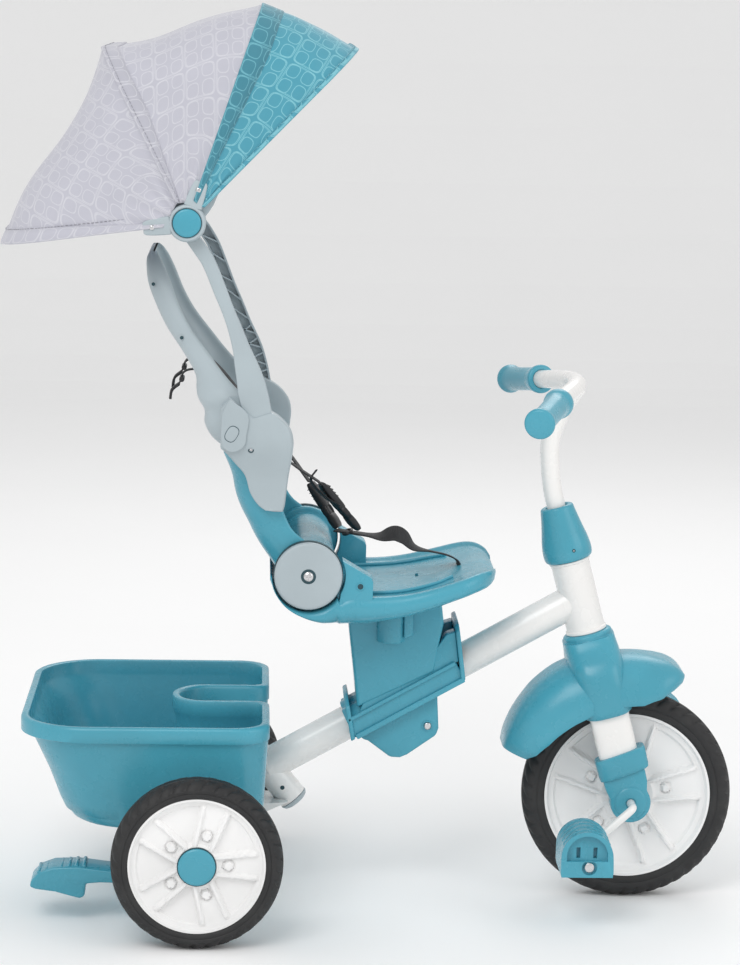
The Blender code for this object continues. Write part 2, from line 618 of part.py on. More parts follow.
def build_steering():
    outline = [(-FORK_OUTSIDE, FORK_FOOT), (-FORK_INSIDE, FORK_FOOT), (-FORK_INSIDE, FORK_TOP - FORK_CROWN),
               (FORK_INSIDE, FORK_TOP - FORK_CROWN), (FORK_INSIDE, FORK_FOOT), (FORK_OUTSIDE, FORK_FOOT),
               (FORK_OUTSIDE, FORK_TOP - 0.02), (FORK_OUTSIDE - 0.026, FORK_TOP),
               (0.026 - FORK_OUTSIDE, FORK_TOP),
               (-FORK_OUTSIDE, FORK_TOP - 0.02)]
    corner = FRONT_AXLE - STEER_FORWARD * FORK_WIDTH / 2
    slab("fork", outline, corner, Y_AXIS, STEER_UP, STEER_FORWARD * FORK_WIDTH, "white", FRONT_AXLE)
    drill(bpy.data.objects["fork"], steer(FORK_TOP - 0.012), steer(FORK_TOP + 0.05), STEERER_R, 16)
    top = HEAD_TUBE_FROM + HEAD_TUBE_LENGTH + 0.040
    rod("steerer", steer(FORK_TOP - 0.0115), steer(top), STEERER_R, "steel", 16, FRONT_AXLE)
    for side, s in both_sides():
        low, high = sorted((s * (FORK_INSIDE - 0.002), s * (FORK_OUTSIDE + 0.002)))
        shape = [(-0.012, FORK_FOOT - GAP), (-0.030, FORK_FOOT - GAP), (-0.030, 0.030), (-0.021, 0.022)]
        shape = [(0.030, FORK_FOOT - GAP)] + shape[1:] + arc((0, 0), DROPOUT_R, 165, 375,
                                                             12) + [(0.021, 0.022), (0.030, 0.030)]
        low_loop = [steer(b, a, low) for a, b in shape]
        high_loop = [steer(b, a, high) for a, b in shape]
        dropout = make("dropout_" + side, [low_loop, high_loop], "teal", FRONT_AXLE)
        drill(dropout, FRONT_AXLE - Y_AXIS * 0.1, FRONT_AXLE + Y_AXIS * 0.1, CRANK_R, 12)
    build_fender()
    cover_from = HEAD_TUBE_FROM + HEAD_TUBE_LENGTH + 0.001
    bore = bore_for(STEERER_R, 20)
    cover = [(bore, 0), (0.0270, 0), (0.0285, 0.012), (0.0265, 0.030), (0.0205, 0.044),
             (0.0190, COVER_LENGTH), (bore, COVER_LENGTH)]
    turned("stem_cover", cover, steer(cover_from), STEER_UP, "teal", 20, FRONT_AXLE, ring=True)
    stem_from = top + 0.0015
    path = [steer(stem_from, 0.0), steer(0.395, 0.004), steer(0.425, 0.012), steer(0.455, 0.032),
            steer(0.473, 0.052)]
    upright = sweep("handlebar_upright", path, disc_section(BAR_R, 10), Y_AXIS, "white", FRONT_AXLE)
    end = Vector((0.1745, GRIP_END_Y, 0.579))
    bend = [end.lerp(Vector((0.214, 0.080, 0.594)), share) for share in (0.03, 1.0)]
    half = bend + [Vector((0.229, 0.040, 0.5985)), Vector((0.2345, 0.012, 0.6000))]
    path = [Vector((p.x, -p.y, p.z)) for p in half] + list(reversed(half))
    bar = sweep("handlebar", path, disc_section(BAR_R, 10), Z_AXIS, "white", FRONT_AXLE)
    combine(bar, upright, "UNION")
    for side, s in both_sides():
        tip = Vector((end.x, s * end.y, end.z))
        inward = (Vector((0.214, s * 0.080, 0.594)) - tip).normalized()
        tip = tip - inward * 0.004
        bore = bore_for(BAR_R, 16)
        shape = [(0, 0), (GRIP_R, 0), (GRIP_FLANGE_R, 0.004), (GRIP_R, 0.009),
                 (GRIP_R, GRIP_LENGTH - 0.007),
                 (GRIP_FLANGE_R, GRIP_LENGTH - 0.003), (GRIP_FLANGE_R, GRIP_LENGTH), (bore, GRIP_LENGTH),
                 (bore, 0.005), (0, 0.005)]
        turned("grip_" + side, shape, tip, inward, "teal", 16, FRONT_AXLE)


def build_fender():
    """A U-shaped mudguard swept round the front axle."""
    stations = [(68, 0.1635, 0.140, 0.050), (76, 0.1665, 0.128, FENDER_HALF_WIDTH),
                (95, 0.1675, 0.122, FENDER_HALF_WIDTH),
                (115, FENDER_R, 0.120, FENDER_HALF_WIDTH), (138, 0.1665, FENDER_SKIRT_R, FENDER_HALF_WIDTH),
                (158, 0.1590, 0.128, 0.052)]
    loops = []
    for degrees, top, skirt, half in stations:
        out = Vector((cos(radians(degrees)), 0, sin(radians(degrees))))
        corner = 0.026
        side = [(half, skirt)] + arc((half - corner, top - corner), corner, 0, 90, 4)
        inner = [(half - FENDER_WALL, skirt)]
        inner += arc((half - corner, top - corner), corner - FENDER_WALL, 0, 90, 4)
        path = side + [(-y, r) for y, r in reversed(side)] + [(-y, r) for y,
                                                              r in inner] + list(reversed(inner))
        loops.append([FRONT_AXLE + Y_AXIS * y + out * r for y, r in path])
    fender = make("fender", loops, "teal", FRONT_AXLE)
    bore = bore_for(STEERER_R, 20)
    neck = [(bore, 0), (0.034, 0), (0.030, 0.010), (0.0265, 0.018), (0.0265, 0.026), (bore, 0.026)]
    neck = turned("fork_neck", neck, steer(FENDER_R - 0.0045), STEER_UP, "teal", 20, FRONT_AXLE, ring=True)
    combine(fender, neck, "UNION")
    drill(fender, steer(0.1), steer(0.3), STEERER_R, 16)


def wheel_profile(rim_r, tyre_r, bore, hub_half):
    """Rim and tyre profiles about the wheel's middle."""
    half = TYRE_WIDTH / 2
    lip, web = half - 0.002, RIM_WEB / 2
    tyre = [(rim_r + GAP, -half + 0.002), (tyre_r - TYRE_SHOULDER, -half), (tyre_r, -half + TYRE_SHOULDER),
            (tyre_r, half - TYRE_SHOULDER), (tyre_r - TYRE_SHOULDER, half), (rim_r + GAP, half - 0.002)]
    rim = [(bore, -hub_half), (RIM_HUB_R, -hub_half), (RIM_HUB_R + 0.003, -web), (rim_r - RIM_LIP, -web),
           (rim_r, -lip),
           (rim_r, lip), (rim_r - RIM_LIP, web), (RIM_HUB_R + 0.003, web), (RIM_HUB_R, hub_half),
           (bore, hub_half)]
    return rim, tyre


def build_front_wheel():
    rim, tyre = wheel_profile(FRONT_RIM_R, FRONT_TYRE_R, bore_for(CRANK_R, FRONT_SEGMENTS), 0.026)
    turned("front_rim", rim, FRONT_AXLE, Y_AXIS, "white", FRONT_SEGMENTS, FRONT_AXLE, ring=True)
    turned("front_tyre", tyre, FRONT_AXLE, Y_AXIS, "rubber", FRONT_SEGMENTS, FRONT_AXLE, ring=True)
    throw = Vector((cos(CRANK_ANGLE), 0, sin(CRANK_ANGLE))) * CRANK_LENGTH
    half = [(0, CRANK_SIDE), (0.10, CRANK_SIDE + 0.006), (0.90, PEDAL_INSIDE - 0.012),
            (1.0, PEDAL_INSIDE - 0.005),
            (1.0, PEDAL_OUTSIDE - 0.004)]
    path = [FRONT_AXLE + throw * share - Y_AXIS * y for share, y in reversed(half)]
    path += [FRONT_AXLE - throw * share + Y_AXIS * y for share, y in half]
    side = throw.normalized().cross(Y_AXIS)
    sweep("crank", path, disc_section(CRANK_R, 10), side, "steel", FRONT_AXLE)
    for side_name, s in both_sides():
        middle = FRONT_AXLE + throw * (1 if s < 0 else -1)
        dome = arc((-0.003, 0.0225), PEDAL_HALF, 10, 170, 9)
        shape = [(-0.030, -0.0115), (0.026, -0.0115), (0.028, -0.006)] + dome + [(-0.033, -0.006)]
        low, high = sorted((s * PEDAL_INSIDE, s * PEDAL_OUTSIDE))
        outline = [(middle.x + a, middle.z + b) for a, b in shape]
        pedal = prism("pedal_" + side_name, outline, low, high, "teal", middle)
        drill(pedal, middle - Y_AXIS * 0.3, middle + Y_AXIS * 0.3, CRANK_R, 12)


def build_rear_wheels():
    hub_half = TYRE_WIDTH / 2 - 0.0015
    rim, tyre = wheel_profile(REAR_RIM_R, REAR_TYRE_R, bore_for(REAR_AXLE_R, REAR_SEGMENTS), hub_half)
    for side, s in both_sides():
        middle = Vector((REAR_AXLE_X, s * TRACK / 2, REAR_AXLE_Z))
        turned("rear_rim_" + side, rim, middle, Y_AXIS, "white", REAR_SEGMENTS, middle, ring=True)
        turned("rear_tyre_" + side, tyre, middle, Y_AXIS, "rubber", REAR_SEGMENTS, middle, ring=True)
        cap = [(0, 0), (RIM_HUB_R - 0.001, 0), (RIM_HUB_R - 0.001, CAP_THICK - 0.001),
               (RIM_HUB_R - 0.003, CAP_THICK), (0, CAP_THICK)]
        face = hub_half + 0.0008
        turned("hub_cap_" + side, cap, middle + Y_AXIS * s * face, Y_AXIS * s, "teal", 20, middle)


clear_scene()
REAR_AXLE_Z = REAR_TYRE_R * cos(pi / REAR_SEGMENTS)
FRONT_AXLE = Vector((REAR_AXLE_X + WHEELBASE, 0, FRONT_TYRE_R * cos(pi / FRONT_SEGMENTS)))
STEER_UP = Vector((-sin(RAKE), 0, cos(RAKE)))
STEER_FORWARD = Vector((cos(RAKE), 0, sin(RAKE)))
TRIKE = bpy.data.objects.new("trike", None)
TRIKE.location = (-CENTRE_X, 0, 0)
bpy.context.scene.collection.objects.link(TRIKE)
build_frame()
build_basket()
build_brake()
build_seat()
build_back()
build_canopy()
build_harness()
build_steering()
build_front_wheel()
build_rear_wheels()
bpy.context.view_layer.update()
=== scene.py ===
"""Looks of the child's tricycle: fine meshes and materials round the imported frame.

Outlines are written in the trike's working frame. Its x = 0 lies CENTRE_X in front of the middle of
the length.
"""

import json
from math import cos, hypot, pi, radians, sin, tan

import bmesh
import bpy
from mathutils import Matrix, Vector, noise


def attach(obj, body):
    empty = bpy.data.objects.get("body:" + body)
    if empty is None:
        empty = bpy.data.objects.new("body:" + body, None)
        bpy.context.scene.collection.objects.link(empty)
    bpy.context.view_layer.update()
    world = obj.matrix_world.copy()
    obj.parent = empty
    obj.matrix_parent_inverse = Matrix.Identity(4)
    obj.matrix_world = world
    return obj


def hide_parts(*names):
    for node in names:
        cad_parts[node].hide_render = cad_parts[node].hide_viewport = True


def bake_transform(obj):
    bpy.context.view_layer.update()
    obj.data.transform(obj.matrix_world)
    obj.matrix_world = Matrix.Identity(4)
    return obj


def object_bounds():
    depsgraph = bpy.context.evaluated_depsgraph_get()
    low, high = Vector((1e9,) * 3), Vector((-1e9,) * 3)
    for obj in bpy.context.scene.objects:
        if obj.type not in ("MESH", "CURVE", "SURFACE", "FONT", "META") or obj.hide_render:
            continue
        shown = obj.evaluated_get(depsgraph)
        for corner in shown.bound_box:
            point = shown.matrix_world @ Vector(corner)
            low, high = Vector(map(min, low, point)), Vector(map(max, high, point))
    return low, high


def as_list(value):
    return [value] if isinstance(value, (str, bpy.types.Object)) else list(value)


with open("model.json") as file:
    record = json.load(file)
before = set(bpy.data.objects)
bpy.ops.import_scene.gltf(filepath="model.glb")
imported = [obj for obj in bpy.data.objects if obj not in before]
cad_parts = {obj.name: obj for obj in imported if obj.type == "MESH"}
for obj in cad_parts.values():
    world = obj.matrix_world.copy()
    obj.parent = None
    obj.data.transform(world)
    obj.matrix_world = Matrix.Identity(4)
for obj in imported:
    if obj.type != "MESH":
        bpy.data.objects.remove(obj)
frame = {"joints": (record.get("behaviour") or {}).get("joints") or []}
CAD_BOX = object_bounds()
JOINTS = {joint["name"]: joint for joint in frame["joints"]}
CENTRE_X = 0.0041
UP = Vector((0, 0, 1))
ACROSS = Vector((0, 1, 0))
SIDES = (("right", -1), ("left", 1))

# Materials -------------------------------------------------------------------


class Nodes:
    """A short way to write a node tree: calls add nodes and give back their first output."""

    def __init__(self, name):
        self.material = bpy.data.materials.new(name)
        self.material.use_nodes = True
        self.tree = self.material.node_tree
        self.shader = self.tree.nodes["Principled BSDF"]
        self.coordinates = self.tree.nodes.new("ShaderNodeTexCoord")

    def add(self, kind, inputs=(), output=0, **settings):
        node = self.tree.nodes.new("ShaderNode" + kind)
        for key, value in settings.items():
            setattr(node, key, value)
        for key, value in dict(inputs).items():
            self.put(value, node.inputs[key])
        return node.outputs[output]

    def put(self, value, socket):
        if isinstance(value, bpy.types.NodeSocket):
            self.tree.links.new(value, socket)
        else:
            socket.default_value = value

    def set(self, **values):
        for key, value in values.items():
            self.put(value, self.shader.inputs[key.replace("_", " ")])

    def maths(self, operation, a, b=0.0):
        return self.add("Math", {0: a, 1: b}, operation=operation)

    def mix(self, factor, a, b):
        return self.add("Mix", {0: factor, 6: a, 7: b}, output=2, data_type="RGBA")

    def ramp(self, value, low, high, to_low=0.0, to_high=1.0):
        return self.add("MapRange", {"Value": value, "From Min": low, "From Max": high, "To Min": to_low,
                                     "To Max": to_high}, interpolation_type="SMOOTHSTEP")

    def noise(self, scale, detail=2.0, vector=None, rough=0.5):
        place = vector or self.coordinates.outputs["Object"]
        return self.add("TexNoise", {"Vector": place, "Scale": scale, "Detail": detail, "Roughness": rough})

    def bump(self, height, strength, distance=0.0004, under=None):
        inputs = {"Height": height, "Strength": strength, "Distance": distance}
        if under is not None:
            inputs["Normal"] = under
        return self.add("Bump", inputs)


def colour(red, green, blue):
    return (red, green, blue, 1.0)


def shaded(rgb, factor):
    return colour(*(min(1.0, channel * factor) for channel in rgb))


def moulded(name, rgb, roughness, grain=0.10, wear=0.06):
    """Injection-moulded plastic: fine spark texture, slow flow marks and edges rubbed a little paler."""
    n = Nodes(name)
    flow = n.noise(9.0, 3.0)
    base = n.mix(n.ramp(flow, 0.35, 0.65), shaded(rgb, 0.95), shaded(rgb, 1.05))
    edge = n.add("NewGeometry", output=7)
    base = n.mix(n.ramp(edge, 0.53, 0.62, 0.0, wear * 4), base, shaded(rgb, 1.35))
    n.set(Base_Color=base, Roughness=n.ramp(n.noise(40.0, 4.0), 0.3, 0.7, roughness - 0.05,
                                            roughness + 0.06))
    fine = n.bump(n.noise(1500.0, 2.0), grain, 0.0002)
    n.set(Normal=n.bump(n.noise(14.0, 1.0), 0.05, 0.002, fine))
    n.shader.inputs["IOR"].default_value = 1.48
    return n.material


def powder_coat(name, rgb):
    """Glossy powder coat on steel, with its faint orange peel."""
    n = Nodes(name)
    base = n.mix(n.ramp(n.noise(6.0, 2.0), 0.35, 0.65), shaded(rgb, 0.98), shaded(rgb, 1.01))
    n.set(Base_Color=base, Roughness=n.ramp(n.noise(60.0, 2.0), 0.3, 0.7, 0.20, 0.30))
    n.set(Normal=n.bump(n.noise(420.0, 1.0), 0.12, 0.0003))
    n.shader.inputs["Coat Weight"].default_value = 0.25
    n.shader.inputs["Coat Roughness"].default_value = 0.12
    return n.material


def rubbery(name):
    """Moulded tyre: dark, dusty in the grooves, faint mould flow."""
    n = Nodes(name)
    dust = n.noise(30.0, 5.0)
    base = n.mix(n.ramp(dust, 0.4, 0.75), colour(0.014, 0.014, 0.015), colour(0.030, 0.030, 0.030))
    hollow = n.add("NewGeometry", output=7)
    base = n.mix(n.ramp(hollow, 0.40, 0.48, 0.5, 0.0), base, colour(0.040, 0.039, 0.038))
    n.set(Base_Color=base, Roughness=n.ramp(dust, 0.3, 0.7, 0.52, 0.70))
    n.set(Normal=n.bump(n.noise(700.0, 3.0), 0.25, 0.0003))
    return n.material


def metallic(name, rgb, roughness):
    """Zinc plate: bright, faintly mottled."""
    n = Nodes(name)
    mottle = n.noise(220.0, 4.0)
    n.set(Base_Color=n.mix(mottle, shaded(rgb, 0.82), shaded(rgb, 1.1)))
    n.set(Roughness=n.ramp(mottle, 0.3, 0.7, roughness - 0.08, roughness + 0.1))
    n.set(Normal=n.bump(mottle, 0.08, 0.0002))
    n.shader.inputs["Metallic"].default_value = 1.0
    return n.material


def weave(n, across, along, pitch):
    """Height of a plain weave whose threads run along both UV directions."""
    waves = []
    for axis in (across, along):
        turn = n.maths("MULTIPLY", axis, pi / pitch)
        waves.append(n.maths("ABSOLUTE", n.maths("SINE", turn)))
    return n.maths("MAXIMUM", waves[0], waves[1])


def rounded_ring(n, across, along, cell, half, power, width, at=1.0):
    """Thin rounded-box rings repeated every cell: 1 on the line, 0 off it."""
    total = None
    for axis, size in ((across, cell[0]), (along, cell[1])):
        share = n.maths("FRACT", n.maths("DIVIDE", axis, size))
        offset = n.maths("ABSOLUTE", n.maths("SUBTRACT", share, 0.5))
        reach = half[0] if axis is across else half[1]
        term = n.maths("POWER", n.maths("DIVIDE", offset, reach), power)
        total = term if total is None else n.maths("ADD", total, term)
    distance = n.maths("POWER", total, 1.0 / power)
    away = n.maths("ABSOLUTE", n.maths("SUBTRACT", distance, at))
    return n.ramp(away, width * 0.55, width, 1.0, 0.0)


def canopy_cloth(name, rgb, line_rgb, dark=1.0):
    """Woven polyester printed with small rounded ovals, four to a rounded frame."""
    n = Nodes(name)
    uv = n.add("SeparateXYZ", {"Vector": n.coordinates.outputs["UV"]})
    across, along = uv, uv.node.outputs[1]
    small = (OVAL_CELL, OVAL_CELL * 1.06)
    large = (small[0] * 2, small[1] * 2)
    ovals = rounded_ring(n, across, along, small, (0.37, 0.41), 3.0, 0.085)
    frames = rounded_ring(n, across, along, large, (0.475, 0.475), 6.0, 0.026)
    inner = rounded_ring(n, across, along, large, (0.445, 0.445), 6.0, 0.022)
    print_mask = n.maths("MAXIMUM", ovals, n.maths("MAXIMUM", frames, inner))
    patchy = n.noise(800.0, 2.0)
    ink = n.maths("MULTIPLY", print_mask, n.ramp(patchy, 0.2, 0.6, 0.55, 0.95))
    tone = n.mix(n.noise(25.0, 3.0), shaded(rgb, 0.95 * dark), shaded(rgb, 1.06 * dark))
    n.set(Base_Color=n.mix(ink, tone, colour(*line_rgb)))
    threads = weave(n, across, along, 0.0006)
    creases = n.bump(n.noise(22.0, 2.0), 0.20, 0.006)
    n.set(Normal=n.bump(threads, 0.35, 0.0002, creases))
    n.set(Roughness=n.ramp(n.noise(60.0), 0.3, 0.7, 0.78, 0.9))
    n.shader.inputs["Sheen Weight"].default_value = 0.35
    n.shader.inputs["Sheen Roughness"].default_value = 0.5
    return n.material


def webbing_cloth(name, rgb):
    """Ribbed nylon webbing: cross ribs under a fine weave, coloured with painted shade in the rib hollows and
    a painted highlight on the rib tops.
    """
    n = Nodes(name)
    uv = n.add("SeparateXYZ", {"Vector": n.coordinates.outputs["UV"]})
    across, along = uv, uv.node.outputs[1]
    ribs = n.maths("ABSOLUTE", n.maths("SINE", n.maths("MULTIPLY", along, pi / 0.0016)))
    threads = weave(n, across, along, 0.0012)
    height = n.maths("ADD", ribs, n.maths("MULTIPLY", threads, 0.5))
    # Painted light: the colour follows the rib height, darker in the hollows as painted shade and paler on
    # the tops as a painted highlight.
    n.set(Base_Color=n.mix(n.ramp(height, 0.2, 1.3), shaded(rgb, 0.6), shaded(rgb, 1.7)))
    n.set(Roughness=n.ramp(n.noise(90.0), 0.3, 0.7, 0.70, 0.85), Normal=n.bump(height, 0.6, 0.0003))
    n.shader.inputs["Sheen Weight"].default_value = 0.08
    return n.material


OVAL_CELL = 0.0172
TEAL = (0.066, 0.335, 0.440)
GREY = (0.40, 0.465, 0.495)
MATERIAL = {
    "teal": moulded("teal moulding", TEAL, 0.27),
    "grey": moulded("grey moulding", GREY, 0.40),
    "white": powder_coat("white powder coat", (0.86, 0.845, 0.825)),
    "rim": moulded("white moulding", (0.84, 0.835, 0.83), 0.38, 0.05, 0.0),
    "tyre": rubbery("tyre rubber"),
    "steel": metallic("zinc plate", (0.66, 0.66, 0.67), 0.28),
    "black": moulded("black moulding", (0.018, 0.018, 0.020), 0.42, 0.12, 0.02),
    "webbing": webbing_cloth("black webbing", (0.016, 0.016, 0.017)),
    "canopy_grey": canopy_cloth("grey canopy print", (0.475, 0.475, 0.535), (0.575, 0.575, 0.62)),
    "canopy_teal": canopy_cloth("teal canopy print", (0.070, 0.310, 0.405), (0.20, 0.50, 0.57)),
    "hem_grey": canopy_cloth("grey hem", (0.475, 0.475, 0.535), (0.555, 0.555, 0.60), 0.93),
    "hem_teal": canopy_cloth("teal hem", (0.070, 0.310, 0.405), (0.15, 0.42, 0.50), 0.72),
    "thread_teal": webbing_cloth("teal thread", (0.10, 0.42, 0.52)),
    "thread_grey": webbing_cloth("grey thread", (0.42, 0.42, 0.48)),
    # Painted shade: near-black teal put in holes, grooves, gaps and dimples to stand for the shade inside
    # them.
    "dark": moulded("painted recess shade", (0.020, 0.060, 0.075), 0.6, 0.05, 0.0),
}

# Making meshes ---------------------------------------------------------------


def at(x, z, y=0.0):
    """A point of the working frame in the row's frame."""
    return Vector((x - CENTRE_X, y, z))


def piece(name, mesh_edit, kind, body, replaces=(), crease=40, round_off=0.0, steps=2):
    """A finished object: faces out, smooth, given its material, riding on its body."""
    bmesh.ops.recalc_face_normals(mesh_edit, faces=mesh_edit.faces)
    mesh = bpy.data.meshes.new(name)
    mesh_edit.to_mesh(mesh)
    mesh_edit.free()
    thing = bpy.data.objects.new(name, mesh)
    bpy.context.scene.collection.objects.link(thing)
    mesh.materials.append(MATERIAL[kind])
    if round_off:
        bevel = thing.modifiers.new("edges", "BEVEL")
        bevel.width = round_off
        bevel.segments = steps
        bevel.limit_method = "ANGLE"
        bevel.angle_limit = radians(30)
        bevel.harden_normals = False
    mesh.shade_smooth()
    if not round_off:
        mesh.set_sharp_from_angle(angle=radians(crease))
    if body:
        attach(thing, body)
    if replaces:
        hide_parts(*replaces)
    return thing


def skin(loops, closed=False, caps=True, ring=True, uv=None):
    """Faces between rows of points. ring joins each row's ends; closed joins the last row to the first."""
    edit = bmesh.new()
    layer = edit.loops.layers.uv.new("UVMap") if uv else None
    rows = [[edit.verts.new(p) for p in loop] for loop in loops]
    places = {}
    if uv:
        for i, row in enumerate(rows):
            for k, vert in enumerate(row):
                places[vert] = uv(i, k)
    pairs = list(zip(rows, rows[1:])) + ([(rows[-1], rows[0])] if closed else [])
    for low, high in pairs:
        count = max(len(low), len(high))
        for k in range(count if ring else count - 1):
            after = (k + 1) % count
            if len(low) == 1:
                corners = (low[0], high[after], high[k])
            elif len(high) == 1:
                corners = (low[k], low[after], high[0])
            else:
                corners = (low[k], low[after], high[after], high[k])
            face = edit.faces.new(corners)
            if uv:
                for corner in face.loops:
                    corner[layer].uv = places[corner.vert]
    if caps and not closed:
        for row in (rows[0], rows[-1]):
            if len(row) > 2:
                edit.faces.new(row)
    return edit


def axes_of(direction):
    direction = direction.normalized()
    first = -UP if abs(direction.z) < 0.9 else Vector((1, 0, 0))
    first = (first - direction * first.dot(direction)).normalized()
    return first, direction.cross(first)


def turned_rows(profile, centre, direction, segments):
    first, second = axes_of(direction)
    direction = direction.normalized()
    rows = []
    for radius, height in profile:
        middle = centre + direction * height
        if radius < 1e-7:
            rows.append([middle])
        else:
            turns = [k * 2 * pi / segments for k in range(segments)]
            rows.append([middle + (first * cos(turn) + second * sin(turn)) * radius for turn in turns])
    return rows


def softened(profile, width, steps=3, closed=False):
    """A turned profile with each corner rounded by an arc that starts width from it."""
    out = []
    count = len(profile)
    for k, (r, h) in enumerate(profile):
        if not closed and k in (0, count - 1):
            out.append((r, h))
            continue
        here = Vector((r, h))
        before = Vector(profile[k - 1]) - here
        after = Vector(profile[(k + 1) % count]) - here
        reach = min(width, before.length * 0.45, after.length * 0.45)
        if reach < 1e-6:
            out.append((r, h))
            continue
        start, end = here + before.normalized() * reach, here + after.normalized() * reach
        for i in range(steps + 1):
            t = i / steps
            p = start * (1 - t) ** 2 + here * 2 * t * (1 - t) + end * t ** 2
            out.append((p.x, p.y))
    return out


def turned(name, profile, centre, direction, kind, body, replaces=(), segments=72, ring=False, soft=0.0008):
    """A lathe-turned piece with softened corners."""
    profile = softened(profile, soft, closed=ring)
    edit = skin(turned_rows(profile, centre, direction, segments), closed=ring, caps=False)
    return piece(name, edit, kind, body, replaces, crease=60)


def smooth_path(points, per_span=8):
    """A Catmull-Rom curve through the points."""
    points = [Vector(p) for p in points]
    padded = [points[0] * 2 - points[1], *points, points[-1] * 2 - points[-2]]
    out = []
    for a, b, c, d in zip(padded, padded[1:], padded[2:], padded[3:]):
        for i in range(per_span):
            t = i / per_span
            out.append((b * 2 + (c - a) * t + (a * 2 - b * 5 + c * 4 - d) * t ** 2
                        + (b * 3 - a - c * 3 + d) * t ** 3) / 2)
    out.append(points[-1])
    return out


def bent_path(points, radius, steps=6):
    """Straight runs whose corners are arcs, as a bent rod has."""
    points = [Vector(p) for p in points]
    out = [points[0]]
    for before, here, after in zip(points, points[1:], points[2:]):
        reach = min(radius, (before - here).length * 0.48, (after - here).length * 0.48)
        start = here + (before - here).normalized() * reach
        end = here + (after - here).normalized() * reach
        for i in range(steps + 1):
            t = i / steps
            out.append(start * (1 - t) ** 2 + here * 2 * t * (1 - t) + end * t ** 2)
    return out + [points[-1]]


def carried(path, section, side):
    """Rows of a section of (sideways, upward) offsets carried along a path without twist."""
    rows = []
    lateral = Vector(side)
    for k, here in enumerate(path):
        ahead = path[min(k + 1, len(path) - 1)]
        behind = path[max(k - 1, 0)]
        run = (ahead - behind).normalized()
        lateral = (lateral - run * run.dot(lateral)).normalized()
        upward = run.cross(lateral)
        shape = section(k / (len(path) - 1)) if callable(section) else section
        rows.append([here + lateral * a + upward * b for a, b in shape])
    return rows


def round_section(radius, count=24):
    return [(radius * cos(k * 2 * pi / count), radius * sin(k * 2 * pi / count)) for k in range(count)]


def boxy_section(half_a, half_b, power=4.0, count=32):
    """A superellipse: power 2 is an ellipse, larger is squarer."""
    out = []
    for k in range(count):
        c, s = cos(k * 2 * pi / count), sin(k * 2 * pi / count)
        out.append((half_a * abs(c) ** (2 / power) * (1 if c > 0 else -1),
                    half_b * abs(s) ** (2 / power) * (1 if s > 0 else -1)))
    return out


def tube(name, path, radius, kind, body, replaces=(), side=ACROSS, count=28):
    return piece(name, skin(carried(path, round_section(radius, count), side)), kind, body, replaces,
                 crease=50)


def plate(name, outline, low_y, high_y, kind, body, replaces=(), round_off=0.002, steps=3):
    """A side outline of (x, z) pairs of the working frame with thickness along y and rounded edges."""
    rows = [[at(x, z, y) for x, z in outline] for y in (low_y, high_y)]
    return piece(name, skin(rows), kind, body, replaces, round_off=round_off, steps=steps)


def arc(centre, radius, start, end, count):
    angles = [radians(start + (end - start) * k / (count - 1)) for k in range(count)]
    return [(centre[0] + radius * cos(a), centre[1] + radius * sin(a)) for a in angles]


def cut(thing, tool):
    """Subtracts a tool, applies the result and removes the tool."""
    step = thing.modifiers.new("cut", "BOOLEAN")
    step.object = tool
    step.solver = "EXACT"
    apply_all(thing)
    bpy.data.objects.remove(tool)
    return thing


def apply_all(thing):
    """Turns a piece's modifiers into its mesh."""
    view = bpy.context.evaluated_depsgraph_get()
    view.update()
    mesh = bpy.data.meshes.new_from_object(thing.evaluated_get(view))
    thing.modifiers.clear()
    thing.data = mesh


def loose(edit):
    """A cutting tool: an object that is no piece."""
    bmesh.ops.recalc_face_normals(edit, faces=edit.faces)
    mesh = bpy.data.meshes.new("tool")
    edit.to_mesh(mesh)
    edit.free()
    thing = bpy.data.objects.new("tool", mesh)
    bpy.context.scene.collection.objects.link(thing)
    return thing

# Camera and light ------------------------------------------------------------


def make_camera():
    """Level with the canopy, looking a little forward and down at the trike's right side."""
    yaw, pitch, roll = radians(2.1), radians(8.7), radians(1.0)
    away = 3.62
    ahead = Vector((sin(yaw) * cos(pitch), cos(yaw) * cos(pitch), -sin(pitch)))
    right = Vector((cos(yaw), -sin(yaw), 0))
    over = right.cross(ahead)
    right, over = right * cos(roll) + over * sin(roll), over * cos(roll) - right * sin(roll)
    data = bpy.data.cameras.new("camera")
    data.lens = 119.4
    data.sensor_width = 36.0
    camera = bpy.data.objects.new("camera", data)
    place = at(-away * tan(yaw), 1.036, -away)
    turn = Matrix((right, over, -ahead)).transposed()
    camera.matrix_world = Matrix.Translation(place) @ turn.to_4x4()
    bpy.context.scene.collection.objects.link(camera)
    bpy.context.scene.camera = camera


def lamp(name, place, target, size, power, tint=(1, 1, 1)):
    data = bpy.data.lights.new(name, "AREA")
    data.size = size
    data.energy = power
    data.color = tint
    thing = bpy.data.objects.new(name, data)
    thing.location = place
    thing.rotation_euler = (Vector(target) - Vector(place)).to_track_quat("-Z", "Y").to_euler()
    bpy.context.scene.collection.objects.link(thing)


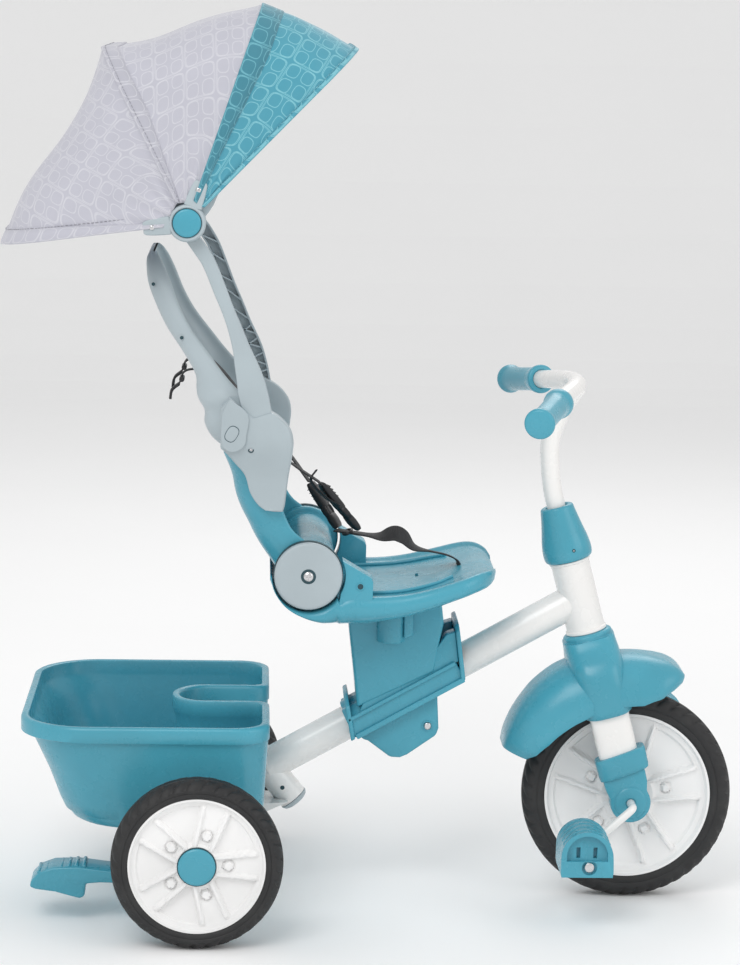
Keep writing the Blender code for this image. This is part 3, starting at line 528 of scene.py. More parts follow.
def make_studio():
    world = bpy.data.worlds.new("studio")
    world.use_nodes = True
    world.node_tree.nodes["Background"].inputs["Color"].default_value = (1.0, 1.0, 1.0, 1)
    world.node_tree.nodes["Background"].inputs["Strength"].default_value = 0.74
    bpy.context.scene.world = world
    bpy.context.scene.view_settings.view_transform = "Standard"
    lamp("key", (-1.1, -2.3, 2.7), (0, 0, 0.45), 1.7, 38)
    lamp("fill", (2.4, -1.6, 1.5), (0, 0, 0.4), 1.8, 13)
    lamp("back", (0.6, 2.4, 2.4), (0, 0, 0.5), 1.6, 16)
    reach = 7.0
    bend = 2.5
    profile = [(-reach, 0.0), (reach - bend, 0.0)]
    profile += [(reach - bend + bend * sin(radians(a)),
                 bend - bend * cos(radians(a))) for a in range(6, 91, 6)]
    profile += [(reach, reach)]
    rows = [[Vector((-reach, y, z)), Vector((reach, y, z))] for y, z in profile]
    edit = skin(rows, caps=False, ring=False)
    mesh = bpy.data.meshes.new("floor")
    edit.to_mesh(mesh)
    edit.free()
    floor = bpy.data.objects.new("floor", mesh)
    bpy.context.scene.collection.objects.link(floor)
    floor.location.z = CAD_BOX[0].z - 0.0005
    paper = Nodes("paper")
    paper.set(Base_Color=paper.mix(paper.noise(3.0), colour(0.955, 0.955, 0.955),
                                   colour(0.975, 0.975, 0.975)))
    paper.set(Roughness=paper.ramp(paper.noise(50.0), 0.3, 0.7, 0.85, 0.95))
    mesh.materials.append(paper.material)


# Wheels ----------------------------------------------------------------------

REAR_AXLE = Vector(JOINTS["rear_wheel_right_spin"]["pos_m"])
FRONT_AXLE = Vector(JOINTS["steering_turn"]["pos_m"])
STEER_UP = Vector(JOINTS["steering_turn"]["axis"])
STEER_FORWARD = Vector((STEER_UP.z, 0, -STEER_UP.x))
TRACK_HALF = 0.224
TYRE_HALF = 0.021
LEG_MIDDLE = 0.044  # from the wheel's middle plane to a fork leg's
SPOKES = 5


def steer(along, forward=0.0, y=0.0):
    """A point at a height along the steering axis and a distance in front of it."""
    return FRONT_AXLE + STEER_UP * along + STEER_FORWARD * forward + ACROSS * y


def smoothstep(low, high, value):
    t = min(1.0, max(0.0, (value - low) / (high - low)))
    return t * t * (3 - 2 * t)


def tyre(name, middle, rim_r, tyre_r, body, node):
    """A tyre with a crowned tread, slanted grooves across both shoulders and a bead line on each wall."""
    half = TYRE_HALF
    wall = tyre_r - rim_r
    profile = [(rim_r + 0.0004, -half + 0.003), (rim_r + wall * 0.10, -half + 0.0012),
               (rim_r + wall * 0.28, -half + 0.0003),
               (rim_r + wall * 0.34, -half + 0.0010), (rim_r + wall * 0.40, -half),
               (rim_r + wall * 0.56, -half + 0.0002), (tyre_r - 0.0078, -half + 0.0010),
               (tyre_r - 0.0048, -half + 0.0030), (tyre_r - 0.0030, -half + 0.0052),
               (tyre_r - 0.0016, -half + 0.0080),
               (tyre_r - 0.0008, -half + 0.0110), (tyre_r - 0.0003, -half + 0.0145),
               (tyre_r - 0.0014, -half + 0.0152),
               (tyre_r - 0.0014, -half + 0.0164), (tyre_r - 0.0001, -half + 0.0172), (tyre_r, 0.0)]
    profile += [(r, -h) for r, h in reversed(profile[:-1])]
    grooves = 46 if tyre_r > 0.1 else 36
    segments = grooves * 8
    first, second = axes_of(ACROSS)
    rows = []
    for radius, height in profile:
        edge = half - abs(height)
        row = []
        for k in range(segments):
            slant = k + edge * 420 * (1 if height > 0 else -1)
            inside = abs((slant % 8) - 4) / 4
            depth = 0.0030 * smoothstep(0.50, 0.78, inside)
            depth *= smoothstep(-0.0004, 0.0012, edge) * (1 - smoothstep(0.0105, 0.0130, edge))
            if radius < tyre_r - 0.0085:
                depth = 0.0
            angle = k * 2 * pi / segments
            spot = middle + ACROSS * height
            row.append(spot + (first * cos(angle) + second * sin(angle)) * (radius - depth))
        rows.append(row)
    return piece(name, skin(rows, closed=True, caps=False), "tyre", body, (node,), crease=50)


def face_height(radius, angle, rim_r, hub_r):
    """How far a rim's face stands above its pocket floor: lip, five double-ribbed spokes, bolt bosses."""
    sector = 2 * pi / SPOKES
    local = (angle + sector / 2) % sector - sector / 2
    off = abs(local) * radius
    share = (radius - hub_r) / (rim_r - hub_r)
    spoke_half = rim_r * (0.125 + 0.070 * share)
    lip = smoothstep(0.93, 0.965, radius / rim_r)
    ledge = 0.35 * smoothstep(0.86, 0.89, radius / rim_r)
    hub = 1 - smoothstep(0.0, 0.10, share)
    rib = smoothstep(0.0042, 0.0016,
                     abs(off - spoke_half)) * (1 - 0.6 * smoothstep(0.86, 0.93, radius / rim_r))
    inside = smoothstep(spoke_half + 0.002, spoke_half - 0.002, off)
    boss_r = hub_r + (rim_r - hub_r) * 0.24
    from_boss = hypot(radius * cos(local) - boss_r, radius * sin(local))
    boss = smoothstep(0.0056, 0.0048, from_boss)
    dish = smoothstep(0.0082, 0.0066, from_boss) * (1 - boss)
    spoke = inside * (0.42 - 0.10 * share) - 0.22 * dish + 0.30 * boss
    return max(lip, ledge, hub * 0.85, 0.92 * rib * (1 - 0.22 * share), spoke)


def rim(name, middle, rim_r, hub_r, body, node, depth, turn):
    """A moulded wheel: both faces have the spoke pattern over a closed web."""
    first, second = axes_of(ACROSS)
    segments, rings = 200, 34
    rows = []
    for side in (-1, 1):
        face = []
        for i in range(rings + 1):
            radius = 0.006 + (rim_r - 0.006) * i / rings
            row = []
            for k in range(segments):
                angle = k * 2 * pi / segments
                high = face_height(radius, angle - turn, rim_r, hub_r)
                y = side * (TYRE_HALF - 0.0025 - depth * (1 - high))
                row.append(middle + ACROSS * y + (first * cos(angle) + second * sin(angle)) * radius)
            face.append(row)
        rows += face if side < 0 else list(reversed(face))
    return piece(name, skin(rows, closed=True, caps=False), "rim", body, (node,), crease=35)


def build_wheels():
    for side, s in SIDES:
        middle = REAR_AXLE + ACROSS * s * TRACK_HALF
        body = "rear_wheel_" + side
        tyre("tyre_" + side, middle, 0.0748, 0.0945, body, "rear_tyre_" + side)
        rim("rim_" + side, middle, 0.0752, 0.0215, body, "rear_rim_" + side, 0.0090, radians(-90))
        cap = [(0, 0.0009), (0.0110, 0.0007), (0.0185, 0), (0.0203, -0.0010), (0.0206, -0.0030),
               (0.0206, -0.007), (0, -0.007)]
        turned("cap_" + side, cap, middle + ACROSS * s * 0.0229, ACROSS * s, "teal", body,
               ("hub_cap_" + side,), soft=0.0004)
        # Painted shade: a thin dark ring in the groove between hub cap and rim stands for the shade in it.
        ring = [(0.0206, 0), (0.0216, 0), (0.0216, 0.0035), (0.0206, 0.0035)]
        turned("cap_groove_" + side, ring, middle + ACROSS * s * 0.0165, ACROSS * s, "dark", body,
               ring=True, soft=0.0001)
    tyre("tyre_front", FRONT_AXLE, 0.0958, 0.1215, "front_wheel", "front_tyre")
    rim("rim_front", FRONT_AXLE, 0.0962, 0.030, "front_wheel", "front_rim", 0.0100, radians(-100))
    for side, s in SIDES:
        hub = [(0.0046, 0.018), (0.016, 0.018), (0.0145, 0.0285), (0.0046, 0.0285)]
        turned("front_hub_" + side, hub, FRONT_AXLE, ACROSS * s, "rim", "front_wheel", ring=True)


# Steering, fork and pedals ---------------------------------------------------


def rounded_block(name, sections, kind, body, replaces=(), power=4.0, count=48, crease=40):
    """A closed form through (centre, half sizes) sections across two directions."""
    rows = []
    for centre, direction_a, half_a, direction_b, half_b in sections:
        rows.append([centre + direction_a * a + direction_b * b for a,
                     b in boxy_section(half_a, half_b, power, count)])
    return piece(name, skin(rows), kind, body, replaces, crease)


def build_fork():
    for side, s in SIDES:
        sections = []
        for along, half_f, half_y in ((0.045, 0.0225, 0.0110), (0.070, 0.0228, 0.0115),
                                      (0.120, 0.0232, 0.0118), (0.150, 0.0232, 0.0118)):
            sections.append((steer(along, 0, s * LEG_MIDDLE), STEER_FORWARD, half_f, ACROSS, half_y))
        rounded_block("fork_leg_" + side, sections, "white", "steering", power=3.2)
        bottom = []
        for along, half_f, half_y in ((0.0330, 0.0268, 0.0130), (0.0345, 0.0290, 0.0145),
                                      (0.0380, 0.0296, 0.0150),
                                      (0.0540, 0.0300, 0.0152), (0.0575, 0.0300, 0.0152),
                                      (0.0590, 0.0290, 0.0145)):
            tilt = (STEER_FORWARD + STEER_UP * 0.10).normalized()
            bottom.append((steer(along, 0.0015, s * LEG_MIDDLE), tilt, half_f, ACROSS, half_y))
        rounded_block("dropout_collar_" + side, bottom, "teal", "steering", power=4.5)
        outline = [(-0.0245, 0.036), (-0.0240, 0.020)] + arc((0, 0), 0.0232, 158, 382,
                                                             28) + [(0.0245, 0.020), (0.0250, 0.036)]
        rows = [[steer(b, a, y) for a, b in outline] for y in sorted((s * 0.0315, s * 0.0550))]
        piece("dropout_plate_" + side, skin(rows), "teal", "steering", ("dropout_" + side,),
              round_off=0.0022, steps=3)
        disc = [(0.0060, 0.0), (0.0165, 0.0), (0.0188, -0.0015), (0.0188, -0.006), (0.0060, -0.006)]
        turned("dropout_disc_" + side, disc, steer(0, 0, s * 0.0568), ACROSS * s, "teal", "steering",
               ring=True)
    crown = []
    for along in (0.128, 0.150):
        crown.append((steer(along), STEER_FORWARD, 0.021, ACROSS, 0.050))
    rounded_block("fork_crown", crown, "white", "steering", ("fork",), power=6.0)


def fender_section(degrees, top, skirt, half):
    """A U across the wheel, from the near skirt's edge over the top to the far one."""
    out = Vector((cos(radians(degrees)), 0, sin(radians(degrees))))
    corner = min(half * 0.80, (top - skirt) * 0.9)
    side = [(half - 0.0016 * (1 - i / 3), skirt + (top - corner - skirt) * i / 3) for i in range(3)]
    side += arc((half - corner, top - corner), corner, 0, 90, 12)
    path = side + [(-y, r) for y, r in reversed(side)]
    return [FRONT_AXLE + ACROSS * y + out * r for y, r in path]


def fender_shape(degrees):
    """Top radius, skirt radius and half width round the wheel."""
    stations = [(67.0, 0.1575, 0.1480, 0.034), (69.5, 0.1620, 0.1400, 0.046),
                (75.0, 0.1655, 0.1260, 0.0560),
                (84.0, 0.1665, 0.1150, 0.0590), (95.0, 0.1665, 0.1130, 0.0600),
                (108.0, 0.1705, 0.1130, 0.0600),
                (120.0, 0.1720, 0.1120, 0.0600), (132.0, 0.1700, 0.1140, 0.0595),
                (145.0, 0.1650, 0.1170, 0.0580),
                (154.0, 0.1610, 0.1220, 0.0530), (158.5, 0.1575, 0.1290, 0.0440)]
    for low, high in zip(stations, stations[1:]):
        if degrees <= high[0]:
            t = (degrees - low[0]) / (high[0] - low[0])
            return [a + (b - a) * t for a, b in zip(low[1:], high[1:])]
    return stations[-1][1:]


def build_fender():
    rows = []
    steps = 60
    for i in range(steps + 1):
        degrees = 67.0 + (158.5 - 67.0) * i / steps
        rows.append(fender_section(degrees, *fender_shape(degrees)))
    edit = skin(rows, caps=False, ring=False)
    for _ in range(3):
        inner = [v for v in edit.verts if not v.is_boundary]
        bmesh.ops.smooth_vert(edit, verts=inner, factor=0.4, use_axis_x=True, use_axis_y=True,
                              use_axis_z=True)
    shell = piece("fender_shell", edit, "teal", "steering", ("fender",), crease=50)
    thick = shell.modifiers.new("wall", "SOLIDIFY")
    thick.thickness = 0.003
    thick.offset = -1
    edge = shell.modifiers.new("edge", "BEVEL")
    edge.width = 0.0012
    edge.segments = 2
    edge.limit_method = "ANGLE"
    edge.angle_limit = radians(50)
    column = []
    for along, half_f, half_y, forward in ((0.104, 0.0285, 0.0600, 0.0), (0.1055, 0.0305, 0.0612, 0.0),
                                           (0.112, 0.0312, 0.0615, 0.0),
                                           (0.135, 0.0318, 0.0612, 0.0), (0.150, 0.0322, 0.0600, 0.0),
                                           (0.162, 0.0320, 0.0560, 0.0),
                                           (0.171, 0.0315, 0.0480, 0.0), (0.178, 0.0308, 0.0390, 0.0),
                                           (0.184, 0.0302, 0.0330, 0.0),
                                           (0.190, 0.0298, 0.0303, 0.0)):
        column.append((steer(along, forward), STEER_FORWARD, half_f, ACROSS, half_y))
    rounded_block("fork_shroud", column, "teal", "steering", power=3.4, crease=60)
    neck = [(0.005, 0.184), (0.0300, 0.184), (0.0305, 0.1885), (0.0282, 0.1905), (0.0285, 0.1945),
            (0.0268, 0.1962), (0.0245, 0.1970), (0.005, 0.1970)]
    turned("fork_neck_rings", neck, FRONT_AXLE, STEER_UP, "teal", "steering", ring=True, soft=0.0010)


def build_bars():
    cover = [(0.0125, 0.2842), (0.0262, 0.2842), (0.0280, 0.2880), (0.0284, 0.2960), (0.0268, 0.3080),
             (0.0240, 0.3200),
             (0.0214, 0.3330), (0.0198, 0.3420), (0.0190, 0.3465), (0.0168, 0.3478), (0.0125, 0.3478)]
    turned("stem_cover_shell", cover, FRONT_AXLE, STEER_UP, "teal", "steering", ("stem_cover",), ring=True,
           soft=0.003)
    eye = steer(0.297, 0.006, -0.0275)
    # Painted shade: a dark ring round the screw dot stands for the shade of the screw's hole.
    ring = [(0.0009, -0.002), (0.0020, -0.002), (0.0020, 0.0004), (0.0009, 0.0004)]
    turned("cover_screw_eye", ring, eye, Vector((0.2, -1, 0)), "dark", "steering", segments=24, ring=True,
           soft=0.0002)
    dot = [(0, -0.002), (0.0009, -0.002), (0.0009, 0.0001), (0, 0.0001)]
    turned("cover_screw_dot", dot, eye, Vector((0.2, -1, 0)), "steel", "steering", segments=20, soft=0.0001)
    path = smooth_path([steer(0.335), steer(0.365), steer(0.395, 0.004), steer(0.425, 0.012),
                        steer(0.455, 0.032), steer(0.473, 0.052)], 8)
    path += [steer(0.4765, 0.056)]
    tube("bar_upright", path, 0.0108, "white", "steering")
    end = at(0.1745, 0.579, 0.205)
    inner = at(0.214, 0.594, 0.080)
    half = [end.lerp(inner, 0.03), inner, at(0.229, 0.5985, 0.040), at(0.2350, 0.6000, 0.0)]
    points = [Vector((p.x, -p.y, p.z)) for p in half] + [p for p in reversed(half[:-1])]
    curve = bent_path(points, 0.030, 8)
    tube("bar_cross", curve, 0.0106, "white", "steering", ("handlebar",), side=UP)
    for side, s in SIDES:
        tip = Vector((end.x, s * end.y, end.z))
        inward = (Vector((inner.x, s * inner.y, inner.z)) - tip).normalized()
        shape = [(0, -0.0035), (0.0150, -0.0030), (0.0168, -0.0010), (0.0172, 0.0020), (0.0162, 0.0050),
                 (0.0146, 0.0090), (0.0139, 0.0160),
                 (0.0137, 0.050), (0.0139, 0.078), (0.0148, 0.086), (0.0164, 0.090), (0.0170, 0.094),
                 (0.0168, 0.098), (0.0150, 0.0995), (0.0107, 0.0998), (0.0104, 0.090)]
        turned("grip_sleeve_" + side, shape, tip, inward, "teal", "steering", ("grip_" + side,),
               soft=0.0015)


CRANK_LENGTH = 0.0736
CRANK_ANGLE = radians(218.2)


def build_pedals():
    throw = Vector((cos(CRANK_ANGLE), 0, sin(CRANK_ANGLE))) * CRANK_LENGTH
    half = [(0.0, 0.0800), (0.16, 0.0835), (1.0, 0.0980), (1.0, 0.1665)]
    points = [FRONT_AXLE + throw * share - ACROSS * y for share, y in reversed(half)]
    points += [FRONT_AXLE - throw * share + ACROSS * y for share, y in half]
    tube("crank_rod", bent_path(points, 0.010, 6), 0.0046, "white", "front_wheel", ("crank",), side=UP,
         count=20)
    for side, s in SIDES:
        middle = FRONT_AXLE + throw * (1 if s < 0 else -1)
        body = "pedal_" + side
        dome = arc((-0.0025, 0.0115), 0.0292, 2, 178, 26)
        outline = [(-0.0310, -0.0112), (0.0262, -0.0112), (0.0272, -0.0060), (0.0270, 0.0060)] + dome
        outline += [(-0.0318, 0.0060), (-0.0320, -0.0060)]
        rows = [[middle + Vector((a, y, b)) for a, b in outline] for y in sorted((s * 0.1045, s * 0.1690))]
        block = piece("pedal_block_" + side, skin(rows), "teal", body, ("pedal_" + side,))
        pocket = [(0.0205, 0.0070), (0.0205, 0.0130)] + arc((-0.0025, 0.0130), 0.0230, 0, 180, 18)[1:-1]
        pocket += [(-0.0255, 0.0130), (-0.0255, 0.0070)]
        tool = loose(skin([[middle + Vector((a, y, b)) for a,
                            b in pocket] for y in sorted((s * 0.1610, s * 0.18))]))
        cut(block, tool)
        for x in (-0.0120, 0.0070):
            corners = [(x - 0.0022, 0.0090), (x + 0.0022, 0.0090), (x + 0.0022, 0.0215),
                       (x - 0.0022, 0.0215)]
            tool = loose(skin([[middle + Vector((a, y, b)) for a,
                                b in corners] for y in sorted((s * 0.1535, s * 0.175))]))
            cut(block, tool)
        hole = loose(skin(turned_rows([(0.0085, 0.1645), (0.0085, 0.18)], Vector((middle.x, 0, middle.z)),
                                      ACROSS * s, 32)))
        cut(block, hole)
        bevel = block.modifiers.new("edges", "BEVEL")
        bevel.width = 0.0016
        bevel.segments = 3
        bevel.limit_method = "ANGLE"
        bevel.angle_limit = radians(40)
        block.data.shade_smooth()
        nut = [(0, 0.1645), (0.0058, 0.1645), (0.0060, 0.1670), (0.0050, 0.1685), (0, 0.1690)]
        turned("pedal_nut_" + side, nut, Vector((middle.x, 0, middle.z)), ACROSS * s, "steel",
               "front_wheel", segments=36, soft=0.0006)
        for level in range(4):
            y = s * (0.113 + level * 0.015)
            grip = arc((-0.0025, 0.0115), 0.0298, 25, 155,
                       18) + list(reversed(arc((-0.0025, 0.0115), 0.0284, 25, 155, 18)))
            rows = [[middle + Vector((a, v, b)) for a, b in grip] for v in (y - 0.002, y + 0.002)]
            piece("pedal_rib_%s_%d" % (side, level), skin(rows), "teal", body, round_off=0.0005, steps=2)

# Frame, basket and brake -----------------------------------------------------

TUBE_RISE = radians(29.4)
SLEEVE_FOOT = at(-0.083, 0.111)
SLEEVE_UP = Vector((-sin(radians(39.8)), 0, cos(radians(39.8))))
REAR_AXLE_Z = REAR_AXLE.z


def tube_point(along, above, y=0.0):
    """A point in the main tube's own directions, from where its line crosses x = 0."""
    x = along * cos(TUBE_RISE) - above * sin(TUBE_RISE)
    return at(x, 0.2131 + along * sin(TUBE_RISE) + above * cos(TUBE_RISE), y)


def build_frame_looks():
    low, high = tube_point(-0.1313, 0), tube_point(0.279, 0)
    tube("main_tube_skin", [low.lerp(high, k / 8) for k in range(9)], 0.0192, "white", "frame",
         ("main_tube",), count=56)
    ring = [(0.0128, 0.198), (0.0222, 0.198), (0.0226, 0.2015), (0.0222, 0.205), (0.0222, 0.276),
            (0.0226, 0.2795), (0.0222, 0.283), (0.0128, 0.283)]
    turned("head_tube_skin", ring, FRONT_AXLE, STEER_UP, "white", "frame", ("head_tube",), ring=True,
           soft=0.0012)
    bearing = [(0.0128, 0.1972), (0.0230, 0.1972), (0.0238, 0.1978), (0.0238, 0.2010), (0.0222, 0.2020),
               (0.0128, 0.2020)]
    turned("lower_bearing_cup", bearing, FRONT_AXLE, STEER_UP, "white", "frame", ring=True, soft=0.0006)
    bearing = [(0.0128, 0.2800), (0.0222, 0.2800), (0.0240, 0.2812), (0.0240, 0.2836), (0.0128, 0.2836)]
    turned("upper_bearing_cup", bearing, FRONT_AXLE, STEER_UP, "white", "frame", ring=True, soft=0.0006)
    sleeve = [(0.0137, 0), (0.0170, 0), (0.0170, 0.1300), (0.0137, 0.1300)]
    turned("sleeve_skin", sleeve, SLEEVE_FOOT, SLEEVE_UP, "white", "frame", ("push_handle_sleeve",),
           ring=True, soft=0.0012)
    cap = [(0, -0.0070), (0.0110, -0.0066), (0.0150, -0.0048), (0.0171, -0.0015), (0.0174, -0.0003),
           (0, -0.0003)]
    turned("sleeve_cap", cap, SLEEVE_FOOT, SLEEVE_UP, "grey", "frame", ("sleeve_end_cap",), soft=0.0008)
    for side, s in SIDES:
        # Painted shade: dark dots on the sleeve's sides stand for the shade inside its pin holes.
        dot = [(0.0, 0.0004), (0.0022, 0.0004), (0.0026, 0.0), (0.0026, -0.0012), (0.0, -0.0012)]
        turned("sleeve_hole_" + side, dot, SLEEVE_FOOT + SLEEVE_UP * 0.020 + ACROSS * s * 0.0170,
               ACROSS * s, "dark", "frame", segments=24, soft=0.0002)
    half = 0.1800
    axle = at(-0.190, REAR_AXLE_Z)
    path = [axle + ACROSS * (-half + 2 * half * k / 10) for k in range(11)]
    tube("axle_tube_skin", path, 0.0114, "white", "frame", side=UP, count=40)
    nut = [(0.0052, 0.180), (0.0085, 0.180), (0.0085, 0.190), (0.0076, 0.1915), (0.0052, 0.1915)]
    for side, s in SIDES:
        turned("axle_nut_" + side, nut, axle, ACROSS * s, "steel", "frame", segments=6, ring=True,
               soft=0.0004)
        washer = [(0.0052, 0.1915), (0.0110, 0.1915), (0.0110, 0.1932), (0.0052, 0.1932)]
        turned("axle_washer_" + side, washer, axle, ACROSS * s, "steel", "frame", ring=True, soft=0.0003)


def basket_loop(inset, shrink, z, count=10):
    """The basket's plan at one level: round corners, and a slot from the front for the frame."""
    front = -0.112 - inset - shrink * 0.25
    rear = -0.390 + inset + shrink * 2
    half = 0.185 - inset - shrink
    slot = 0.038 + inset
    end = -0.215 - inset
    big, small, lead = 0.078 - inset, 0.034, 0.014
    side = [(end + slot * 0.75 - slot * 0.75 * cos(radians(a)),
             slot * sin(radians(a))) for a in range(0, 90, 10)]
    side += [(end + slot * 0.75 + (front - lead - end - slot * 0.75) * k / 6, slot) for k in range(7)]
    side += [(front - lead + lead * sin(radians(a)),
              slot + lead - lead * cos(radians(a))) for a in range(15, 91, 15)]
    side += [(front, slot + lead + (half - small - slot - lead) * k / 5) for k in range(1, 5)]
    side += arc((front - small, half - small), small, 0, 90, count)
    side += [(front - small + (rear + big - front + small) * k / 8, half) for k in range(1, 8)]
    side += arc((rear + big, half - big), big, 90, 180, 16)
    whole = side + [(x, -y) for x, y in reversed(side) if abs(y) > 1e-9]
    return [at(x, z, y) for x, y in whole]


def build_basket_looks():
    taper = 0.028
    top, floor = 0.234, 0.112
    rows = []
    for inset, shrink, z in ((0.030, taper, floor + 0.0005), (0.010, taper, floor),
                             (0.004, taper, floor + 0.0006),
                             (0.0008, taper - 0.0003, floor + 0.0030),
                             (0.0, taper - 0.0020, floor + 0.0090)):
        rows.append((inset, shrink, z))
    for k in range(1, 8):
        t = k / 8
        rows.append((0.0, (taper - 0.002) * (1 - t) + 0.0052 * t,
                     floor + 0.009 + (top - 0.018 - floor - 0.009) * t))
    rows += [(0.0, 0.0052, top - 0.0190), (0.0, 0.0050, top - 0.0182), (0.0, 0.0006, top - 0.0178),
             (0.0, 0.0, top - 0.0170),
             (0.0, 0.0, top - 0.0040), (0.0008, 0.0, top - 0.0014), (0.0030, 0.0, top), (0.0062, 0.0, top),
             (0.0082, 0.0, top - 0.0010), (0.0090, 0.0, top - 0.0035), (0.0090, 0.0, top - 0.0150),
             (0.0075, 0.002, top - 0.0190)]
    for k in range(1, 8):
        t = k / 8
        rows.append((0.0044, 0.0052 + (taper - 0.007 - 0.0052) * t,
                     top - 0.019 + (floor + 0.014 - top + 0.019) * t))
    rows += [(0.0044, taper - 0.006, floor + 0.012), (0.0060, taper - 0.002, floor + 0.0065),
             (0.0090, taper, floor + 0.0045),
             (0.030, taper, floor + 0.0040)]
    loops = [basket_loop(*row) for row in rows]
    edit = skin(loops, closed=True, caps=False)
    edit.verts.ensure_lookup_table()
    count = len(loops[0])
    edit.faces.new([edit.verts[k] for k in range(count)])
    edit.faces.new([edit.verts[(len(loops) - 1) * count + k] for k in range(count)])
    # the first and last rows are joined by their own two floors, so the strip between them goes
    last_row = (len(loops) - 1) * count
    bridge = []
    for face in edit.faces:
        on_ends = all(v.index < count or v.index >= last_row for v in face.verts)
        on_first = any(v.index < count for v in face.verts)
        past_first = any(v.index >= count for v in face.verts)
        if len(face.verts) == 4 and on_ends and on_first and past_first:
            bridge.append(face)
    bmesh.ops.delete(edit, geom=bridge, context="FACES_ONLY")
    piece("basket_shell", edit, "teal", "frame", ("basket",), crease=45)


def build_brake_looks():
    y = -0.115
    blade = [(-0.150, 0.064), (-0.156, 0.078), (-0.170, 0.082), (-0.200, 0.072), (-0.250, 0.0600),
             (-0.290, 0.0590), (-0.326, 0.0635),
             (-0.352, 0.0625), (-0.368, 0.0565), (-0.377, 0.0470), (-0.3785, 0.0400), (-0.372, 0.0375),
             (-0.350, 0.0345), (-0.330, 0.0290),
             (-0.3225, 0.0270), (-0.3170, 0.0300), (-0.3160, 0.0440), (-0.300, 0.0455), (-0.250, 0.0440),
             (-0.200, 0.0540), (-0.170, 0.0600)]
    plate("brake_pedal_blade", blade, y - 0.0225, y + 0.0225, "teal", "brake", ("brake_lever",),
          round_off=0.0025, steps=3)
    for k in range(7):
        t = k / 6
        x, z = -0.318 - 0.050 * t, 0.0640 - 0.0075 * t * t
        rib = arc((x, z - 0.001), 0.0024, 0, 360, 13)[:-1]
        rows = [[at(a, b, v) for a, b in rib] for v in (y - 0.019, y + 0.019)]
        piece("brake_pad_rib_%d" % k, skin(rows), "teal", "brake", round_off=0.0006)

# Seat ------------------------------------------------------------------------

BACK_PIVOT = at(-0.0713, 0.3967)


def spline(table):
    """A smooth function through rows of (position, value, value, ...), which gives back its values."""
    def value(where):
        where = min(max(where, table[0][0]), table[-1][0])
        k = 0
        while k < len(table) - 2 and where > table[k + 1][0]:
            k += 1
        low, high = table[k], table[k + 1]
        before, after = table[max(k - 1, 0)], table[min(k + 2, len(table) - 1)]
        width = high[0] - low[0]
        t = (where - low[0]) / width
        out = []
        for j in range(1, len(low)):
            rise = (high[j] - low[j]) / width
            enter = (high[j] - before[j]) / (high[0] - before[0]) if k else rise
            leave = (after[j] - low[j]) / (after[0] - low[0]) if k < len(table) - 2 else rise
            enter, leave = enter * width, leave * width
            out.append((2 * t ** 3 - 3 * t ** 2 + 1) * low[j] + (t ** 3 - 2 * t ** 2 + t) * enter
                       + (3 * t ** 2 - 2 * t ** 3) * high[j] + (t ** 3 - t ** 2) * leave)
        return out
    return value


PAN = spline([  # x, underside, rim, half width
    (-0.1135, 0.3850, 0.3900, 0.1180), (-0.1080, 0.3740, 0.3850, 0.1290), (-0.0950, 0.3580, 0.3640, 0.1340),
    (-0.0720, 0.3440, 0.3540, 0.1350), (-0.0500, 0.3365, 0.3570, 0.1350), (-0.0280, 0.3335, 0.3722, 0.1350),
    (-0.0050, 0.3345, 0.3722, 0.1350), (0.0240, 0.3395, 0.3735, 0.1350), (0.0460, 0.3455, 0.3765, 0.1348),
    (0.0680, 0.3525, 0.3815, 0.1335), (0.0870, 0.3595, 0.3870, 0.1300), (0.1050, 0.3655, 0.3925, 0.1250),
    (0.1180, 0.3700, 0.3960, 0.1170), (0.1280, 0.3735, 0.3970, 0.1060), (0.1350, 0.3770, 0.3960, 0.0920),
    (0.1400, 0.3815, 0.3940, 0.0740), (0.1425, 0.3870, 0.3910, 0.0540)])


